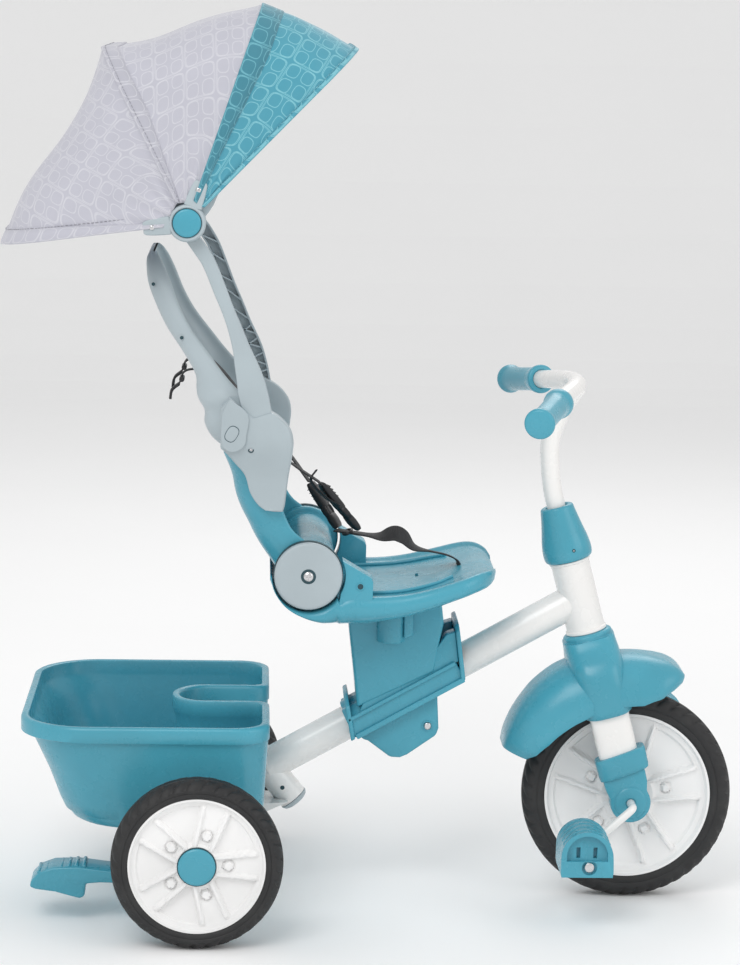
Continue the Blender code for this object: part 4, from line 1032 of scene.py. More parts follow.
def build_pan():
    cradle_r = 0.0405
    stations = [-0.1135 + 0.0745 * k / 40 for k in range(41)] + [-0.0388 + 0.1813 * k / 60 for k in range(61)]
    rows = []
    for x in stations:
        under, rim, half = PAN(x)
        top = rim - 0.0036
        if x < -0.0389:
            drop = cradle_r ** 2 - (x + 0.0713) ** 2
            rim = top = 0.3967 - (drop ** 0.5 if drop > 0 else 0) - 0.0002
            rim = top = max(rim, under + 0.0035)
        elif x < -0.0368:
            rim, top = 0.3722, 0.3705
        middle = max(rim - min(0.011, (rim - under) * 0.5), under + 0.0005)
        loop = []
        for k in range(15):
            a = radians(90 * k / 14)
            loop.append((half * sin(a) ** 0.62, middle - (middle - under) * cos(a) ** 0.62))
        for k in range(1, 7):
            a = radians(90 * k / 6)
            loop.append((half - 0.0085 * (1 - cos(a)), middle + (rim - middle) * sin(a)))
        shelf = max(half - 0.0120, 0.005)
        loop += [(shelf, rim), (max(shelf - 0.0030, 0.0045), rim - (rim - top) * 0.25),
                 (max(shelf - 0.0065, 0.004), top + (rim - top) * 0.15),
                 (max(shelf - 0.0090, 0.0035), top), (max(shelf - 0.05, 0.003), top), (0.002, top)]
        whole = loop + [(-y, z) for y, z in reversed(loop) if abs(y) > 1e-9]
        rows.append([at(x, z, y) for y, z in whole])
    pan = piece("seat_pan", skin(rows), "teal", "frame", ("seat_base",), crease=48)
    for x, y, z, half_x, half_y in ((0.1035, 0.0, 0.389, 0.0022, 0.0105),
                                    (0.0555, 0.0, 0.376, 0.0018, 0.0095)):
        edge = [at(x + a, z, y + b) for a, b in boxy_section(half_x, half_y, 5, 24)]
        tool = loose(skin([[p - UP * 0.009 for p in edge], [p + UP * 0.03 for p in edge]]))
        cut(pan, tool)
    pan.data.shade_smooth()
    pan.data.set_sharp_from_angle(angle=radians(48))
    ridge = smooth_path([at(-0.020, 0.3697, -0.088), at(0.030, 0.3720, -0.090), at(0.070, 0.3798, -0.084),
                         at(0.092, 0.3862, -0.070)], 6)
    mirrored = [Vector((p.x, -p.y, p.z)) for p in ridge]
    for name, path in (("near", ridge), ("far", mirrored)):
        tube("pan_ridge_" + name, path, 0.0022, "teal", "frame", side=ACROSS, count=10)
    cheek = [(-0.0375, 0.362), (0.0005, 0.364), (0.0008, 0.3900), (-0.0012, 0.3945)]
    cheek += [(x, z) for x, z in reversed(arc((-0.0713, 0.3967), 0.0412, -28, 24, 14))]
    for side, s in SIDES:
        plate("pan_cheek_" + side, cheek, *sorted((s * 0.103, s * 0.1325)), "teal", "frame",
              round_off=0.0022, steps=3)
        # Painted shade: a dark disc in the cheek's socket stands for the shade inside it; the teal eye rings
        # it.
        socket = [(0.0, 0.0), (0.0033, 0.0), (0.0033, -0.0014), (0.0, -0.0014)]
        turned("cheek_hole_" + side, socket, at(-0.0134, 0.3850, s * 0.1331), ACROSS * s, "dark", "frame",
               segments=28, soft=0.0002)
        ring = [(0.0032, 0.0004), (0.0044, 0.0004), (0.0044, -0.0015), (0.0032, -0.0015)]
        turned("cheek_eye_" + side, ring, at(-0.0134, 0.3850, s * 0.1331), ACROSS * s, "teal", "frame",
               segments=28, ring=True, soft=0.0003)


def build_seat_foot():
    outline = [(-0.0235, 0.338), (-0.0225, 0.320), (-0.0150, 0.2575), (-0.0120, 0.2280)]
    outline += [(0.0760, 0.2700), (0.0790, 0.295), (0.0855, 0.3270), (0.0820, 0.3560)]
    plate("pedestal_box", outline, -0.0450, 0.0450, "teal", "frame", ("seat_pedestal",), round_off=0.0040,
          steps=4)
    for side, s in SIDES:
        boss = [(0.0, 0.0), (0.0150, 0.0), (0.0160, 0.0012), (0.0162, 0.034), (0.0, 0.034)]
        turned("pedestal_boss_" + side, boss, at(0.0250, 0.3055, s * 0.0440), UP, "teal", "frame",
               soft=0.0015)
        rib = [(0.0395, 0.3110), (0.0500, 0.3150), (0.0500, 0.348), (0.0395, 0.348)]
        plate("pedestal_rib_" + side, rib, *sorted((s * 0.040, s * 0.0560)), "teal", "frame",
              round_off=0.0020)

    def lofted(name, rows_of, kind="teal", replaces=()):
        return piece(name, skin(rows_of), kind, "frame", replaces, round_off=0.0016, steps=3)

    def along_tube(profile, start, end, grow=0.0):
        steps = 6
        return [[tube_point(start + (end - start) * k / steps, z, y) for y,
                 z in profile] for k in range(steps + 1)]

    shell = [(0.0440, -0.012), (0.0440, 0.010), (0.0300, 0.0215)] + arc((0, 0.001), 0.0238, 55, 125, 9)
    shell += [(-0.0300, 0.0215), (-0.0440, 0.010), (-0.0440, -0.012)]
    inner = [(-0.0215, -0.012), (-0.0215, 0.0)] + list(reversed(arc((0, 0), 0.0215, 20, 160,
                                                                    15))) + [(0.0215, 0.0), (0.0215, -0.012)]
    lofted("saddle_block", along_tube(shell + inner, -0.0215, 0.1210), replaces=("seat_saddle",))
    flange = [(0.0465, -0.0125), (0.0475, 0.0), (0.0475, 0.0150), (0.0440, 0.0250), (0.0330, 0.0330),
              (0.020, 0.0360)]
    flange = flange + [(-y, z) for y, z in reversed(flange)]
    front = [(0.0465, -0.0125), (0.0480, 0.0), (0.0480, 0.0250), (0.0460, 0.0420), (0.0380, 0.0480),
             (0.020, 0.0490)]
    front = front + [(-y, z) for y, z in reversed(front)]
    bore = list(reversed(arc((0, 0), 0.0213, -36, 216, 25)))

    def end_plate(name, low, high, lean):
        outer = front if low > 0 else flange
        rows = []
        for along in (low, high):
            ring = [tube_point(along + lean * z, z, y) for y, z in outer]
            ring += [tube_point(along + lean * z, z, -y) for y, z in bore]
            rows.append(ring)
        lofted(name, rows)

    end_plate("saddle_flange_rear", -0.0235, -0.0180, 0.34)
    end_plate("saddle_flange_front", 0.1205, 0.1260, 0.40)
    for side, s in SIDES:
        for name, height, thick in (("upper", 0.0105, 0.0022), ("lower", -0.0110, 0.0030)):
            rows = [[tube_point(a, height + b, s * (0.0430 + c)) for c,
                     b in ((0, -thick), (0.0045, -thick), (0.0045, thick), (0, thick))]
                    for a in (-0.0200, 0.1200)]
            piece("saddle_rib_%s_%s" % (name, side), skin(rows), "teal", "frame", round_off=0.0012, steps=3)
        web = [(-0.006, 0.010), (0.1240, 0.010), (0.1370, 0.0420), (0.1270, 0.0440), (0.0930, 0.0280),
               (0.010, 0.0240)]
        rows = [[tube_point(a, b, y) for a, b in web] for y in sorted((s * 0.0200, s * 0.0435))]
        piece("saddle_web_" + side, skin(rows), "teal", "frame", round_off=0.0010)
    clamp = [(-0.0165, -0.0105), (0.0850, -0.0105), (0.0828, -0.0170), (0.0665, -0.0500), (0.0600, -0.0560),
             (0.0200, -0.0600), (0.0110, -0.0590), (0.0014, -0.0530), (-0.0116, -0.0239),
             (-0.0165, -0.0190)]
    for side, s in SIDES:
        rows = [[tube_point(a, b, y) for a, b in clamp] for y in sorted((s * 0.0205, s * 0.0345))]
        piece("clamp_cheek_" + side, skin(rows), "teal", "frame", ("saddle_clamp",) if s < 0 else (),
              round_off=0.0030, steps=3)
        bolt = [(0.0, 0.0022), (0.0030, 0.0022), (0.0042, 0.0012), (0.0045, -0.001), (0.0, -0.001)]
        turned("clamp_screw_" + side, bolt, tube_point(0.0567, -0.0410, s * 0.0350), ACROSS * s, "steel",
               "frame",
               ("clamp_bolt",) if s < 0 else (), segments=32, soft=0.0005)
        ring = [(0.0046, 0.0006), (0.0062, 0.0006), (0.0064, -0.001), (0.0046, -0.001)]
        turned("clamp_screw_seat_" + side, ring, tube_point(0.0567, -0.0410, s * 0.0350), ACROSS * s,
               "teal", "frame", ring=True, soft=0.0004)
    belly = [(0.0206, -0.0150)] + list(reversed(arc((0, -0.0250), 0.0206, 180, 360,
                                                    17)))[1:-1] + [(-0.0206, -0.0150)]
    rows = [[tube_point(a, z, y) for y, z in belly] for a in (-0.006, 0.0, 0.030, 0.055)]
    piece("clamp_belly", skin(rows), "teal", "frame", round_off=0.0020)


LOWER = spline([(0.392, -0.1040, -0.0560, 0.1252), (0.402, -0.1090, -0.0590, 0.1254),
                (0.425, -0.1245, -0.0680, 0.1256),
                (0.435, -0.1305, -0.0760, 0.1258), (0.4417, -0.1340, -0.0849, 0.1260),
                (0.451, -0.1385, -0.0924, 0.1264),
                (0.4677, -0.1470, -0.1000, 0.1270), (0.484, -0.1530, -0.1060, 0.1275),
                (0.506, -0.1575, -0.1150, 0.1280),
                (0.532, -0.1680, -0.1300, 0.1285)])
UPPER_TABLE = [(0.4690, -0.1190, -0.1005, 0.1385), (0.4760, -0.1285, -0.0985, 0.1390),
               (0.4893, -0.1375, -0.0970, 0.1390),
               (0.5097, -0.1440, -0.0945, 0.1390), (0.5225, -0.1545, -0.0922, 0.1390),
               (0.5353, -0.1655, -0.0905, 0.1390),
               (0.5480, -0.1800, -0.0898, 0.1390), (0.5627, -0.1880, -0.0940, 0.1390),
               (0.5774, -0.1885, -0.1080, 0.1388),
               (0.5902, -0.1955, -0.1330, 0.1380), (0.6000, -0.1975, -0.1480, 0.1350),
               (0.6160, -0.1985, -0.1640, 0.1300),
               (0.6400, -0.2120, -0.1830, 0.1230), (0.6680, -0.2310, -0.2040, 0.1160),
               (0.6920, -0.2430, -0.2170, 0.1090),
               (0.7150, -0.2520, -0.2260, 0.1010), (0.7330, -0.2545, -0.2340, 0.0900),
               (0.7430, -0.2540, -0.2400, 0.0780),
               (0.7480, -0.2510, -0.2440, 0.0620)]
UPPER = spline(UPPER_TABLE)


def shell_section(height, rear, front, half, wall):
    """A level U: rounded rear corners, side walls whose front edges are rounded lips."""
    depth = max(front - rear, 0.004)
    corner = min(0.034, depth * 0.75, half * 0.6)
    back = min(wall, depth * 0.45)
    lip = wall / 2
    half_turn = [radians(a) for a in range(90, 181, 9)]
    outer = [(front - lip + lip * cos(radians(a)),
              half - lip + lip * sin(radians(a))) for a in range(0, 91, 30)]
    outer += [(rear + corner + (front - lip - rear - corner) * (1 - k / 4), half) for k in range(1, 4)]
    outer += [(rear + corner + corner * cos(a), half - corner + corner * sin(a)) for a in half_turn]
    outer += [(rear, (half - corner) * k / 5) for k in range(4, 0, -1)]
    inside = max(corner - wall, 0.0008)
    cx, cy = rear + back + inside, half - wall - inside
    inner = [(front - lip + lip * cos(radians(a)),
              half - wall + lip + lip * sin(radians(a))) for a in range(-30, -91, -30)]
    inner += [(cx + (front - lip - cx) * (1 - k / 4), half - wall) for k in range(1, 4)]
    inner += [(cx + inside * cos(a), cy + inside * sin(a)) for a in half_turn]
    inner += [(rear + back, cy * k / 5) for k in range(4, 0, -1)]
    ring = outer + [(rear, 0.0)] + [(x, -y) for x, y in reversed(outer)]
    ring += [(x, -y) for x, y in inner] + [(rear + back, 0.0)] + [(x, y) for x, y in reversed(inner)]
    return [at(x, height, y) for x, y in ring]


def build_back_looks():
    rows = []
    for k in range(48):
        z = 0.392 + (0.530 - 0.392) * k / 47
        rows.append(shell_section(z, *LOWER(z), 0.0060))
    piece("lower_back_shell", skin(rows), "teal", "seat_back", ("seat_back_lower",), crease=45,
          round_off=0.0010)
    hub = [(0, 0.1252), (0.030, 0.1252), (0.0370, 0.1245), (0.0378, 0.1225), (0.0378, 0.1130),
           (0.0362, 0.1112), (0.0312, 0.1104),
           (0.0312, 0.0)]
    for side, s in SIDES:
        turned("back_hub_" + side, hub, BACK_PIVOT, ACROSS * s, "teal", "seat_back", segments=96,
               soft=0.0012)
        disc = [(0.0, 0.0128), (0.0075, 0.0128), (0.0085, 0.0134), (0.0345, 0.0134), (0.0370, 0.0124),
                (0.0378, 0.0100), (0.0378, 0.0006), (0.0, 0.0006)]
        start = BACK_PIVOT + ACROSS * s * 0.1256
        turned("recline_cover_" + side, disc, start, ACROSS * s, "grey", "seat_back",
               ("recline_disc_" + side,), segments=120, soft=0.0014)
        shade = [(0.0378, 0.0), (0.0388, 0.0), (0.0388, 0.0075), (0.0378, 0.0075)]
        turned("cover_shadow_" + side, shade, start, ACROSS * s, "dark", "seat_back", segments=96,
               ring=True, soft=0.0002)
        build_screw("recline_screw_head_" + side, start + ACROSS * s * 0.0128, ACROSS * s, 0.0058,
                    "seat_back", ("recline_screw_" + side,))
    rows = []
    for k in range(110):
        z = 0.4690 + (0.7480 - 0.4690) * k / 109
        rows.append(shell_section(z, *UPPER(z), 0.0062))
    back = piece("upper_back_shell", skin(rows), "grey", "seat_back", ("seat_back_upper",), crease=45)
    for y in (-0.056, 0.056):
        edge = [at(-0.20, 0.6150 + b, y + a) for a, b in boxy_section(0.0125, 0.0035, 5, 24)]
        cut(back,
            loose(skin([[p - Vector((0.08, 0, 0)) for p in edge],
                        [p + Vector((0.12, 0, 0)) for p in edge]])))
    back.data.shade_smooth()
    back.data.set_sharp_from_angle(angle=radians(45))
    for k, y in enumerate((-0.034, 0.0, 0.034)):
        path = smooth_path([at(UPPER(z)[0] + 0.0062, z,
                               y * (1.2 - (z - 0.6) * 2)) for z in (0.60, 0.635, 0.670, 0.705)], 6)
        tube("back_rib_%d" % k, path, 0.0026, "grey", "seat_back", side=ACROSS, count=12)
    for side, s in SIDES:
        build_wing(side, s)


def build_screw(name, place, direction, radius, body, replaces=()):
    """A pan-head cross screw over a thin dark disc: painted shade in the recess round its head."""
    # Painted shade: the dark washer disc round the head stands for the shade of the screw's recess.
    washer = [(0.0, 0.0006), (radius * 1.42, 0.0006), (radius * 1.55, 0.0), (0.0, 0.0)]
    turned(name + "_washer", washer, place, direction, "dark", body, segments=48, soft=0.0002)
    dome = [(0.0, 0.0026), (radius * 0.55, 0.0023), (radius * 0.88, 0.0014), (radius, 0.0004),
            (radius, -0.0008), (0.0, -0.0008)]
    head = turned(name, dome, place, direction, "steel", body, replaces, segments=48, soft=0.0003)
    first, second = axes_of(direction)
    for a, b in ((first, second), (second, first)):
        bar = [place + a * (u * radius * 0.52) + b * (v * radius * 0.12) for u,
               v in ((-1, -1), (1, -1), (1, 1), (-1, 1))]
        tool = loose(skin([[p + direction * 0.0012 for p in bar], [p + direction * 0.006 for p in bar]]))
        cut(head, tool)
    head.data.shade_smooth()
    head.data.set_sharp_from_angle(angle=radians(40))


def build_wing(side, s):
    """The wing's outer skin, which swells over the foot of the canopy arm, with the catch's oval."""
    heights = [0.4705 + (0.5960 - 0.4705) * k / 60 for k in range(61)]
    rows = []
    for z in heights:
        rear, front, _ = UPPER(z)
        rear += 0.0010
        front -= 0.0010
        rear = max(rear, -0.1700 + 0.9 * max(0.0, z - 0.585))
        swell = smoothstep(0.500, 0.556, z)
        out = 0.1402 + 0.0124 * swell
        soft = 0.0015 + 0.0028 * swell
        half_x = (front - rear) / 2
        soft = min(soft, half_x * 0.8)
        ring = [(rear, 0.1350), (rear, out - soft)]
        ring += [(rear + soft - soft * cos(radians(a)),
                  out - soft + soft * sin(radians(a))) for a in (22, 45, 68)]
        ring += [(rear + soft + (front - rear - 2 * soft) * k / 8, out) for k in range(9)]
        ring += [(front - soft + soft * sin(radians(a)),
                  out - soft + soft * cos(radians(a))) for a in (22, 45, 68)]
        ring += [(front, out - soft), (front, 0.1350)]
        rows.append([at(x, z, s * y) for x, y in ring])
    wing = piece("wing_skin_" + side, skin(rows), "grey", "seat_back", crease=40)
    notch = [(-0.1610, 0.6000), (-0.1600, 0.5962), (-0.1352, 0.5750), (-0.1325, 0.5745), (-0.1130, 0.5808),
             (-0.1080, 0.5900), (-0.1080, 0.62), (-0.20, 0.62), (-0.175, 0.5990)]
    tool = loose(skin([[at(x, z, y) for x, z in notch] for y in sorted((s * 0.1395, s * 0.17))]))
    cut(wing, tool)
    bevel = wing.modifiers.new("edges", "BEVEL")
    bevel.width = 0.0012
    bevel.segments = 2
    bevel.limit_method = "ANGLE"
    bevel.angle_limit = radians(50)
    wing.data.shade_smooth()
    box = [(-0.1680, 0.5800), (-0.1600, 0.5945), (-0.1560, 0.5925), (-0.1400, 0.5780), (-0.1415, 0.5560),
           (-0.1440, 0.5440), (-0.1540, 0.5375), (-0.1640, 0.5395), (-0.1690, 0.5500)]
    outline = [(p.x, p.z) for p in smooth_path([Vector((x, 0, z)) for x,
                                                z in box] + [Vector((box[0][0], 0, box[0][1]))], 4)[:-1]]
    plate("catch_housing_" + side, outline, *sorted((s * 0.1480, s * 0.1548)), "grey", "seat_back",
          round_off=0.0022, steps=3)
    first = Vector((cos(radians(60)), 0, sin(radians(60))))
    second = Vector((-sin(radians(60)), 0, cos(radians(60))))
    centre = at(-0.1575, 0.5570)
    # Painted shade: catch_gap_ is a dark oval ring round the release button, standing for the shade in the
    # gap.
    for name, grow, low, high, kind, body in (("catch_gap_", 1.10, 0.1530, 0.1552, "dark", "seat_back"),
                                              ("catch_button_", 1.0, 0.1500, 0.1558, "grey",
                                               "button_" + side)):
        shape = [(0.0086 * grow * a, 0.0062 * grow * b) for a, b in boxy_section(1, 1, 2.6, 40)]
        rows = [[centre + first * a + second * b + ACROSS * y for a,
                 b in shape] for y in sorted((s * low, s * high))]
        replaced = ("release_button_" + side,) if kind == "grey" else ()
        piece(name + side, skin(rows), kind, body, replaced, round_off=0.0007, steps=3)
    build_screw("wing_screw_" + side, at(-0.1365, 0.5391, s * 0.1495), ACROSS * s, 0.0022, "seat_back")
    # Painted shade: dark dots on the shell stand for the shade inside its dimples.
    for name, x, z, y in (("upper", -0.2140, 0.6580, 0.1185), ("head", -0.2460, 0.7150, 0.1005)):
        dimple = [(0.0, 0.0003), (0.0014, 0.0003), (0.0020, 0.0), (0.0020, -0.001), (0.0, -0.001)]
        turned("shell_dimple_%s_%s" % (name, side), dimple, at(x, z, s * y), ACROSS * s, "dark",
               "seat_back", segments=20, soft=0.0001)

# Canopy ----------------------------------------------------------------------

CANOPY_PIVOT = at(-0.2082, 0.7873)
CANOPY_HALF = 0.1680
BOWS = {"front": (45.8, 0.2605, 2), "middle": (71.2, 0.2455, 0), "third": (117.0, 0.2065, 1),
        "rear": (187.7, 0.2045, 3)}
BOW_BODY = {"front": "canopy_front", "middle": "seat_back", "third": "canopy_third", "rear": "canopy_rear"}
CLOTH_START = 0.0200
CLOTH_CLEARANCE = 0.004
CLOTH_THICK = 0.0010


def outward(degrees):
    return Vector((cos(radians(degrees)), 0, sin(radians(degrees))))


def hoop(reach, half, start, corner=0.062, straight=26, bend=14, top=30):
    """(y, distance from the pivot) evenly up one side, round the corner, over the top and down."""
    side = [(half, start + (reach - corner - start) * k / straight) for k in range(straight)]
    side += [(half - corner + corner * cos(radians(a)), reach - corner + corner * sin(radians(a)))
             for a in (90 * k / bend for k in range(bend))]
    flat = half - corner
    side += [(flat * (1 - 2 * k / top), reach) for k in range(top // 2)]
    return side + [(0.0, reach)] + [(-y, r) for y, r in reversed(side)]


def hoop_points(degrees, reach, half, start):
    out = outward(degrees)
    return [CANOPY_PIVOT + ACROSS * y + out * r for y, r in hoop(reach, half, start)]


def lengths_along(points):
    """The distance run from the first point to each point of a path."""
    run = [0.0]
    for a, b in zip(points, points[1:]):
        run.append(run[-1] + (b - a).length)
    return run


def strap_section(half, deep):
    """A flat webbing's outline, with its four corners taken off."""
    return [(-half, -deep * 0.4), (-half + deep, -deep), (half - deep, -deep), (half, -deep * 0.4),
            (half, deep * 0.4), (half - deep, deep), (-half + deep, deep), (-half, deep * 0.4)]


def cloth_panel(name, first, second, kind, sag, node, bodies, steps=34):
    """One panel of the canopy, bow to bow: it hollows between them and puckers by the hinges and seams."""
    (a0, r0, _), (a1, r1, _) = BOWS[first], BOWS[second]
    low = hoop_points(a0, r0, CANOPY_HALF, CLOTH_START + CLOTH_CLEARANCE)
    high = hoop_points(a1, r1, CANOPY_HALF, CLOTH_START + CLOTH_CLEARANCE)
    lengths = lengths_along(low)
    total = lengths[-1]
    rows = []
    for i in range(steps + 1):
        t = i / steps
        row = []
        for k, (p, q) in enumerate(zip(low, high)):
            spot = p.lerp(q, t)
            radial = spot - CANOPY_PIVOT
            radial.y = 0
            reach = radial.length
            out = radial.normalized()
            share = lengths[k] / total
            over = smoothstep(0.055, 0.20, reach)
            dip = (sag[0] * sin(pi * t) + sag[1] * sin(2 * pi * t)) * over
            top = 1 - smoothstep(0.08, 0.150, abs(spot.y))
            side_in = 0.0065 * sin(pi * t) * (1 - top) * smoothstep(0.03, 0.16, reach)
            ridge = 0.0012 * (max(0.0, 1 - t / 0.045) + max(0.0, 1 - (1 - t) / 0.045))
            seed = Vector((spot.x * 13, spot.y * 9, spot.z * 13))
            wave = noise.noise(seed) * 0.0040 * sin(pi * t)
            fan = sin(t * 23 + noise.noise(seed * 0.6) * 2.2) * 0.0010 * (1 - smoothstep(0.04, 0.105, reach))
            by_seam = max(0.0, 1 - t / 0.16) + max(0.0, 1 - (1 - t) / 0.16)
            pull = sin(lengths[k] * 290 + noise.noise(seed) * 4) * 0.0005 * by_seam
            spot = spot - out * dip + out * (ridge + wave * over + pull * over)
            spot.y -= (1 if spot.y > 0 else -1) * (side_in + fan + wave * 0.5 - ridge * (1 - top)) * (1 - top)
            row.append(spot)
        rows.append(row)

    widths = [(q - p).length for p, q in zip(low, high)]

    side_run = BOWS[first][1] - CLOTH_START - 0.062
    spread = radians(abs(a1 - a0))

    def uv(i, k):
        share = i / steps - 0.5
        shrink = cos(share * spread)
        from_end = total - lengths[k]
        along = min(lengths[k], side_run) * shrink + max(0.0, min(lengths[k], total - side_run) - side_run)
        return (share * widths[k], along + max(0.0, side_run - from_end) * shrink)

    edit = skin(rows, caps=False, ring=False, uv=uv)
    flat_area = sum((widths[k] + widths[k + 1]) / 2 * (lengths[k + 1] - lengths[k])
                    for k in range(len(widths) - 1))
    cloth = piece(name, edit, kind, None, (node,), crease=75)
    thick = cloth.modifiers.new("cloth", "SOLIDIFY")
    thick.thickness = CLOTH_THICK
    thick.offset = -1.0
    apply_all(cloth)
    cloth.data.shade_smooth()
    if len(bodies) == 2:
        start = CANOPY_PIVOT + outward(a0) * r0
        end = CANOPY_PIVOT + outward(a1) * r1
        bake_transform(cloth)
    width = max(widths)
    rests = ["canopy_bow_" + first, "canopy_bow_" + second]
    return cloth, (width, total), flat_area, rests, rows


def ribbon(name, path, width, thick, side, kind, body, replaces=()):
    """A flat strap along a path, its UV in metres."""
    path = [Vector(p) for p in path]
    half, deep = width / 2, thick / 2
    section = strap_section(half, deep)
    rows = carried(path, section, side)
    run = lengths_along(path)
    thing = piece(name, skin(rows, uv=lambda i, k: (section[k][0] + half, run[i])), kind, body, replaces,
                  crease=60)
    return thing, run[-1]


def hem_strip(name, row, inward, width, kind, body, blend=None):
    """A turned hem along an edge of the cloth: a narrow raised band."""
    rows = []
    run = 0.0
    lengths = []
    for k, p in enumerate(row):
        if k:
            run += (p - row[k - 1]).length
        lengths.append(run)
        into = (inward[k] - p).normalized()
        across = (row[min(k + 1, len(row) - 1)] - row[max(k - 1, 0)]).normalized()
        normal = into.cross(across).normalized()
        if normal.dot(p - CANOPY_PIVOT) < 0:
            normal = -normal
        pucker = 1 + 0.10 * sin(run * 420) + 0.08 * noise.noise(p * 60)
        lift = 0.0011 * pucker
        wide = min(width, (inward[k] - p).length * 0.92)
        rows.append([p - into * 0.0012 - normal * 0.0012, p - into * 0.0016 + normal * 0.0004,
                     p - into * 0.0006 + normal * lift,
                     p + into * wide * 0.5 + normal * (lift + 0.0003), p + into * wide + normal * lift,
                     p + into * (wide + 0.0006) + normal * 0.0001,
                     p + into * (wide + 0.0002) - normal * 0.0012])
    spans = [0, 0.001, 0.002, width * 0.5, width, width + 0.001, width + 0.002]
    thing = piece(name, skin(rows, uv=lambda i, k: (spans[k], lengths[i])), kind, body, crease=70)
    if blend:
        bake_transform(thing)
    return thing


def stitches(name, row, inward, offset, kind, body, gap=0.0042):
    """A run of short thread stitches beside an edge, as one piece."""
    edit = bmesh.new()
    for k in range(1, len(row)):
        a, b = row[k - 1], row[k]
        ia, ib = (inward[k - 1] - a).normalized(), (inward[k] - b).normalized()
        span = (b - a).length
        count = max(1, int(round(span / gap)))
        for j in range(count):
            t0, t1 = (j + 0.18) / count, (j + 0.82) / count
            ends = []
            for t in (t0, t1):
                base = a.lerp(b, t) + ia.lerp(ib, t) * offset
                into = ia.lerp(ib, t)
                normal = into.cross(b - a).normalized()
                if normal.dot(base - CANOPY_PIVOT) < 0:
                    normal = -normal
                ends.append((base, into, normal))
            verts = []
            for base, into, normal in ends:
                verts.append([edit.verts.new(base + into * u + normal * v) for u, v in
                              ((-0.00035, 0.0007), (0.0, 0.0021), (0.00035, 0.0007))])
            for m in range(3):
                n = (m + 1) % 3
                edit.faces.new((verts[0][m], verts[0][n], verts[1][n], verts[1][m]))
            edit.faces.new(verts[0])
            edit.faces.new(verts[1])
    return piece(name, edit, kind, body, crease=60)


def build_canopy_looks():
    front, front_flat, front_area, front_rest, front_rows = cloth_panel(
        "canopy_front_panel", "middle", "front", "canopy_teal", (-0.0040, 0.0), "canopy_cloth_front",
        ("seat_back", "canopy_front"))
    middle, middle_flat, middle_area, middle_rest, middle_rows = cloth_panel(
        "canopy_middle_panel", "third", "middle", "canopy_grey", (0.0020, 0.0035), "canopy_cloth_middle",
        ("canopy_third", "seat_back"), steps=40)
    rear, rear_flat, rear_area, rear_rest, rear_rows = cloth_panel(
        "canopy_rear_panel", "third", "rear", "canopy_grey", (0.0030, 0.0070), "canopy_cloth_rear",
        ("canopy_third", "canopy_rear"), steps=52)
    hems = {
        "front": hem_strip("canopy_front_hem", front_rows[-1], front_rows[-5], 0.0045, "canopy_teal",
                           "canopy_front"),
        "rear": hem_strip("canopy_rear_hem", rear_rows[-1], rear_rows[-6], 0.0170, "canopy_grey",
                          "canopy_rear"),
        "seam": hem_strip("canopy_seam_band", front_rows[0], front_rows[9], 0.0230, "hem_teal",
                          "seat_back"),
        "third": hem_strip("canopy_third_band", middle_rows[0], middle_rows[6], 0.0170, "hem_grey",
                           "canopy_third"),
    }
    stitch = {
        "front": [stitches("front_hem_thread", front_rows[-1], front_rows[-5], 0.0036, "thread_teal",
                           "canopy_front")],
        "rear": [stitches("rear_hem_thread", rear_rows[-1], rear_rows[-6], 0.0155, "thread_grey",
                          "canopy_rear")],
        "middle": [stitches("third_band_thread", middle_rows[0], middle_rows[6], 0.0030, "thread_grey",
                            "canopy_third")],
    }
    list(stitch["front"])
    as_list(front_rest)
    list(stitch["middle"])
    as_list(middle_rest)
    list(stitch["rear"])
    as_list(rear_rest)
    for name, (degrees, reach, place) in BOWS.items():
        build_bow(name, degrees, reach, place)
    for side, s in SIDES:
        build_arm(side, s)


def build_bow(name, degrees, reach, place):
    """A flat plastic strip bent into a hoop, with wider ends that turn on the hinge."""
    half = 0.1508 + place * 0.0023 + 0.0020
    top = reach - 0.0090
    out = outward(degrees)
    across = Vector((-out.z, 0, out.x))
    shift = {"front": 0.0075, "rear": -0.0075}.get(name, 0.0)
    path = []
    for y, r in hoop(top, half, -0.006, 0.058, 20, 12, 16):
        path.append(CANOPY_PIVOT + ACROSS * y + out * r + across * shift * smoothstep(0.02, 0.07, r))
    outline = []
    for k, p in enumerate(path):
        a = path[max(k - 1, 0)]
        b = path[min(k + 1, len(path) - 1)]
        run = (b - a).normalized()
        inward = across.cross(run).normalized()
        from_pivot = hypot(p.x - CANOPY_PIVOT.x, p.z - CANOPY_PIVOT.z)
        wide = 0.0055 + 0.0035 * (1 - smoothstep(0.026, 0.052, from_pivot))
        outline.append([p + across * u * wide + inward * v * 0.0010 for u, v in
                        ((-1, -0.6), (-0.86, -1), (0.86, -1), (1, -0.6), (1, 0.6), (0.86, 1), (-0.86, 1),
                         (-1, 0.6))])
    piece("bow_strip_" + name, skin(outline), "grey", BOW_BODY[name], ("canopy_bow_" + name,), crease=50)
    if name in ("rear", "middle"):
        for side, s in SIDES:
            ear = []
            for r, wide in ((0.0185, 0.0100), (0.026, 0.0098), (0.034, 0.0092), (0.041, 0.0084),
                            (0.045, 0.0076), (0.0475, 0.0060)):
                ear.append([CANOPY_PIVOT + out * r + across * u * wide + ACROSS * s * y for u, y in
                            ((-1, 0.1560), (1, 0.1560), (1, 0.1682), (0.9, 0.1692), (-0.9, 0.1692),
                             (-1, 0.1682))])
            piece("bow_ear_%s_%s" % (name, side), skin(ear), "grey", BOW_BODY[name], round_off=0.0009,
                  crease=40)
            spot = CANOPY_PIVOT + out * 0.0380 + ACROSS * s * 0.1692
            rivet = [(0.0, 0.0022), (0.0016, 0.0020), (0.0028, 0.0012), (0.0032, 0.0), (0.0, 0.0)]
            turned("ear_rivet_%s_%s" % (name, side), rivet, spot, ACROSS * s, "steel", BOW_BODY[name],
                   segments=36, soft=0.0003)


